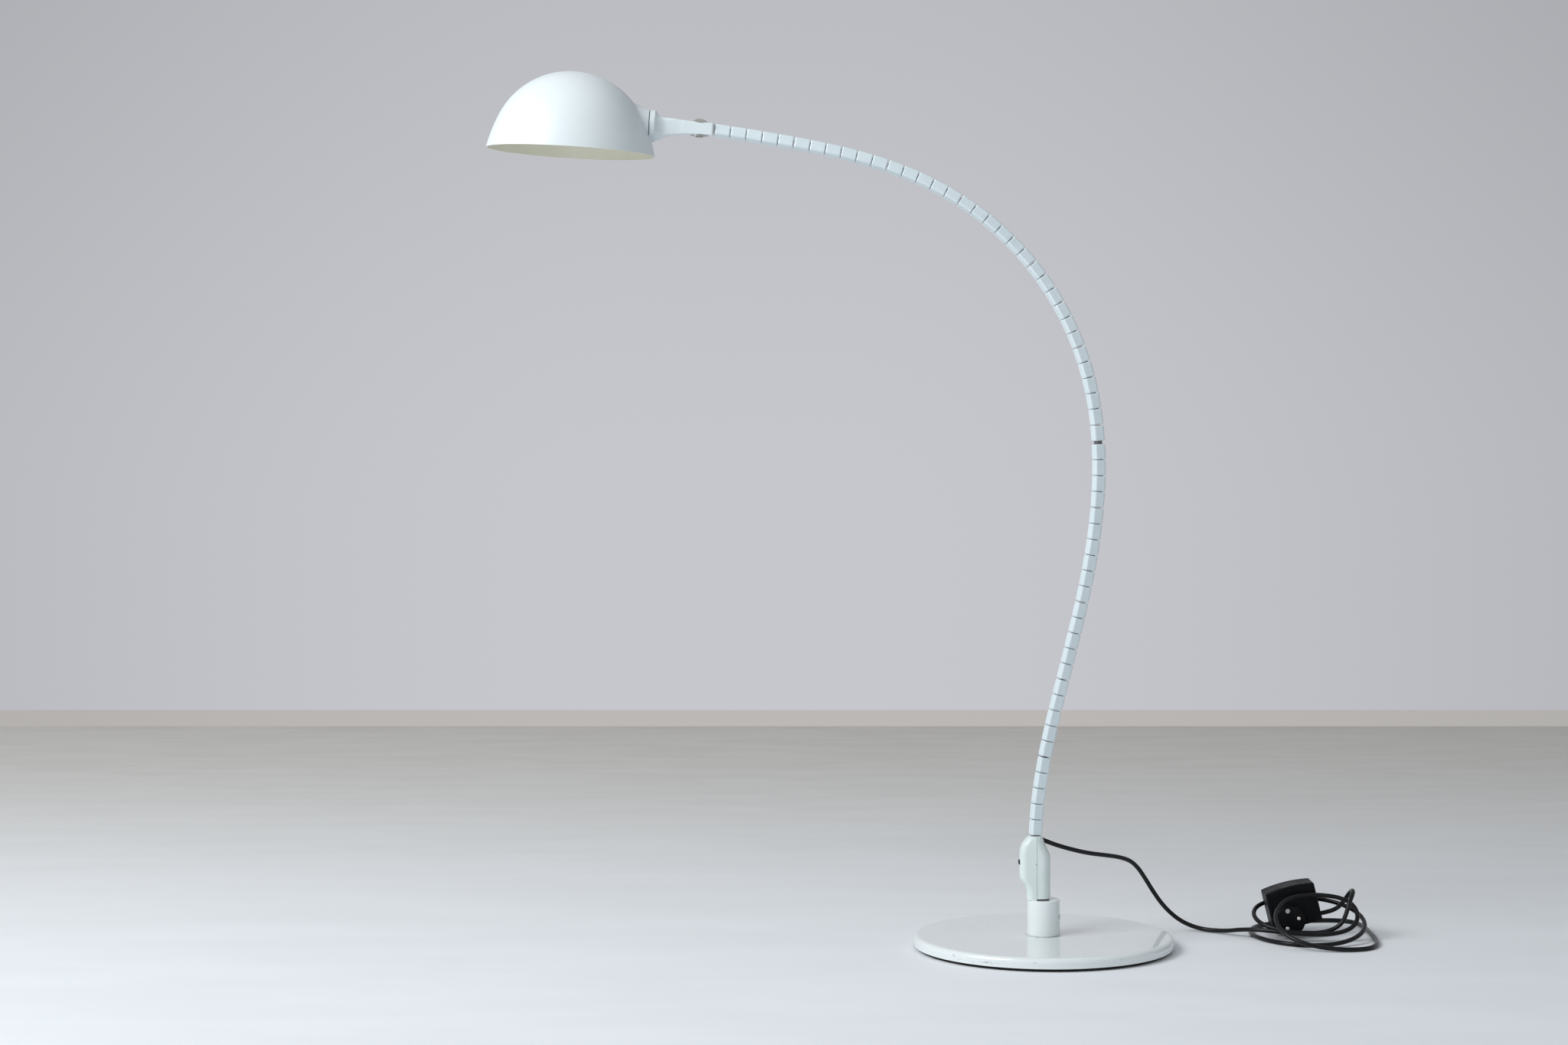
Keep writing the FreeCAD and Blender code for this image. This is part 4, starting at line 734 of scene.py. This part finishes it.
# %% Floor paint
floor_near, floor_far = -0.4, 2.3
floor_paint = bpy.data.materials.new("floor_paint")
floor_paint.use_nodes = True
tree = floor_paint.node_tree
skin = tree.nodes["Principled BSDF"]
skin.inputs["Roughness"].default_value = 0.62
skin.inputs["Specular IOR Level"].default_value = 0.25
split = tree.nodes.new("ShaderNodeSeparateXYZ")
join(tree, tree.nodes.new("ShaderNodeTexCoord").outputs["Object"], split.inputs[0])
# The floor's colour turns darker and warmer towards the wall: painted shade of the window light
# falling off.
shade_towards_wall = ramp(tree, split.outputs["Y"], floor_near, floor_far)
near_tone = blend_colour(tree, (0.885, 0.910, 0.945), (0.858, 0.882, 0.912),
                         ramp(tree, noise(tree, 5.0, 9.0, (0.5, 1.6, 1.0)), 0.35, 0.65))
far_shaded_tone = blend_colour(tree, (0.700, 0.675, 0.635), (0.668, 0.640, 0.598),
                        ramp(tree, noise(tree, 9.0, 9.0, (0.5, 1.6, 1.0)), 0.35, 0.65))
floor_colour = blend_colour(tree, near_tone, far_shaded_tone, shade_towards_wall)
join(tree, floor_colour, skin.inputs["Base Color"])
show_one_side(tree, skin.outputs[0], tree.nodes["Material Output"])
floor.data.materials.append(floor_paint)

# %% Wall paint
def wall_finish(name, light, dark):
    """A backdrop, with painted shade towards its sides and top, that shows its colour to the camera
    and to mirrors, and bounces light.
    """
    material = bpy.data.materials.new(name)
    material.use_nodes = True
    tree = material.node_tree
    tree.nodes.clear()
    split = tree.nodes.new("ShaderNodeSeparateXYZ")
    join(tree, tree.nodes.new("ShaderNodeTexCoord").outputs["Object"], split.inputs[0])
    # Towards the sides and the top the colour darkens: painted shade where less light reaches the
    # wall.
    side_shade = combine(tree, "ABSOLUTE", combine(tree, "ADD", split.outputs["X"], 0.45), 0.0)
    side_shade = ramp(tree, side_shade, 0.2, 2.6, 0.0, 0.75)
    top_shade = ramp(tree, split.outputs["Z"], 0.4, 2.2, 0.0, 0.60)
    corner = combine(tree, "ADD", side_shade, top_shade)
    colour = blend_colour(tree, light, dark, combine(tree, "MINIMUM", corner, 1.0))
    show = tree.nodes.new("ShaderNodeEmission")
    show.inputs["Strength"].default_value = 1.0
    join(tree, colour, show.inputs["Color"])
    bounce = tree.nodes.new("ShaderNodeBsdfDiffuse")
    bounce.inputs["Color"].default_value = (*light, 1.0)
    path = tree.nodes.new("ShaderNodeLightPath")
    seen = combine(tree, "MAXIMUM", path.outputs["Is Camera Ray"], path.outputs["Is Glossy Ray"])
    seen = combine(tree, "MAXIMUM", seen, path.outputs["Is Transmission Ray"])
    pick = tree.nodes.new("ShaderNodeMixShader")
    join(tree, seen, pick.inputs[0])
    join(tree, bounce.outputs[0], pick.inputs[1])
    join(tree, show.outputs[0], pick.inputs[2])
    show_one_side(tree, pick.outputs[0], tree.nodes.new("ShaderNodeOutputMaterial"))
    return material


wall.data.materials.append(
    wall_finish("wall_paint", (0.565, 0.572, 0.605), (0.400, 0.410, 0.435)))
skirting.data.materials.append(
    wall_finish("skirting_paint", (0.500, 0.480, 0.465), (0.400, 0.390, 0.375)))
print("wall and skirting painted")

# %% [markdown]
# ## Light
#
# A wide window on the left lights the scene, so each piece is bright at its upper left and falls
# to a soft grey at its right. One large area lamp stands for the window. The sky-like world fills
# the shadows evenly. Together they light a surface that faces the window at about full level, so
# that a colour shows as it is written.

# %% Window and fill
def area_lamp(name, place, target, size, power, colour):
    """A flat lamp at a place, turned to its target."""
    data = bpy.data.lights.new(name, "AREA")
    data.shape = "RECTANGLE"
    data.size, data.size_y = size
    data.energy = power
    data.color = colour
    lamp = bpy.data.objects.new(name, data)
    lamp.location = place
    lamp.rotation_euler = (Vector(target) - Vector(place)).to_track_quat("-Z", "Y").to_euler()
    bpy.context.scene.collection.objects.link(lamp)
    print(name, power, "W")


area_lamp("window", (-3.0, -1.8, 3.0), (-0.2, 0.0, 0.55), (2.4, 2.0), 132.0, (0.97, 0.99, 1.0))

world = bpy.data.worlds.new("room")
world.use_nodes = True
tree = world.node_tree
tree.nodes.clear()
fill = tree.nodes.new("ShaderNodeBackground")
fill.inputs["Color"].default_value = (0.93, 0.97, 1.0, 1.0)
fill.inputs["Strength"].default_value = 0.44
seen_room = tree.nodes.new("ShaderNodeBackground")
seen_room.inputs["Color"].default_value = (0.62, 0.63, 0.65, 1.0)
seen_room.inputs["Strength"].default_value = 1.0
path = tree.nodes.new("ShaderNodeLightPath")
pick = tree.nodes.new("ShaderNodeMixShader")
join(tree, path.outputs["Is Camera Ray"], pick.inputs[0])
join(tree, fill.outputs[0], pick.inputs[1])
join(tree, seen_room.outputs[0], pick.inputs[2])
out = tree.nodes.new("ShaderNodeOutputWorld")
join(tree, pick.outputs[0], out.inputs["Surface"])
bpy.context.scene.world = world

# %% [markdown]
# ## Sizes
#
# Both boxes, of the solid pieces and of the dressed lamp, are printed so that they can be compared.
# The dressed lamp may not outgrow its solid pieces.

# %% Boxes
def corners(box):
    """The two corners of a box, rounded."""
    return [[round(float(value), 5) for value in corner] for corner in box]


bpy.context.view_layer.update()
{"cad": corners(cad_box), "visual": corners(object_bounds())}
print("solid", corners(cad_box), "dressed", corners(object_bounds()))
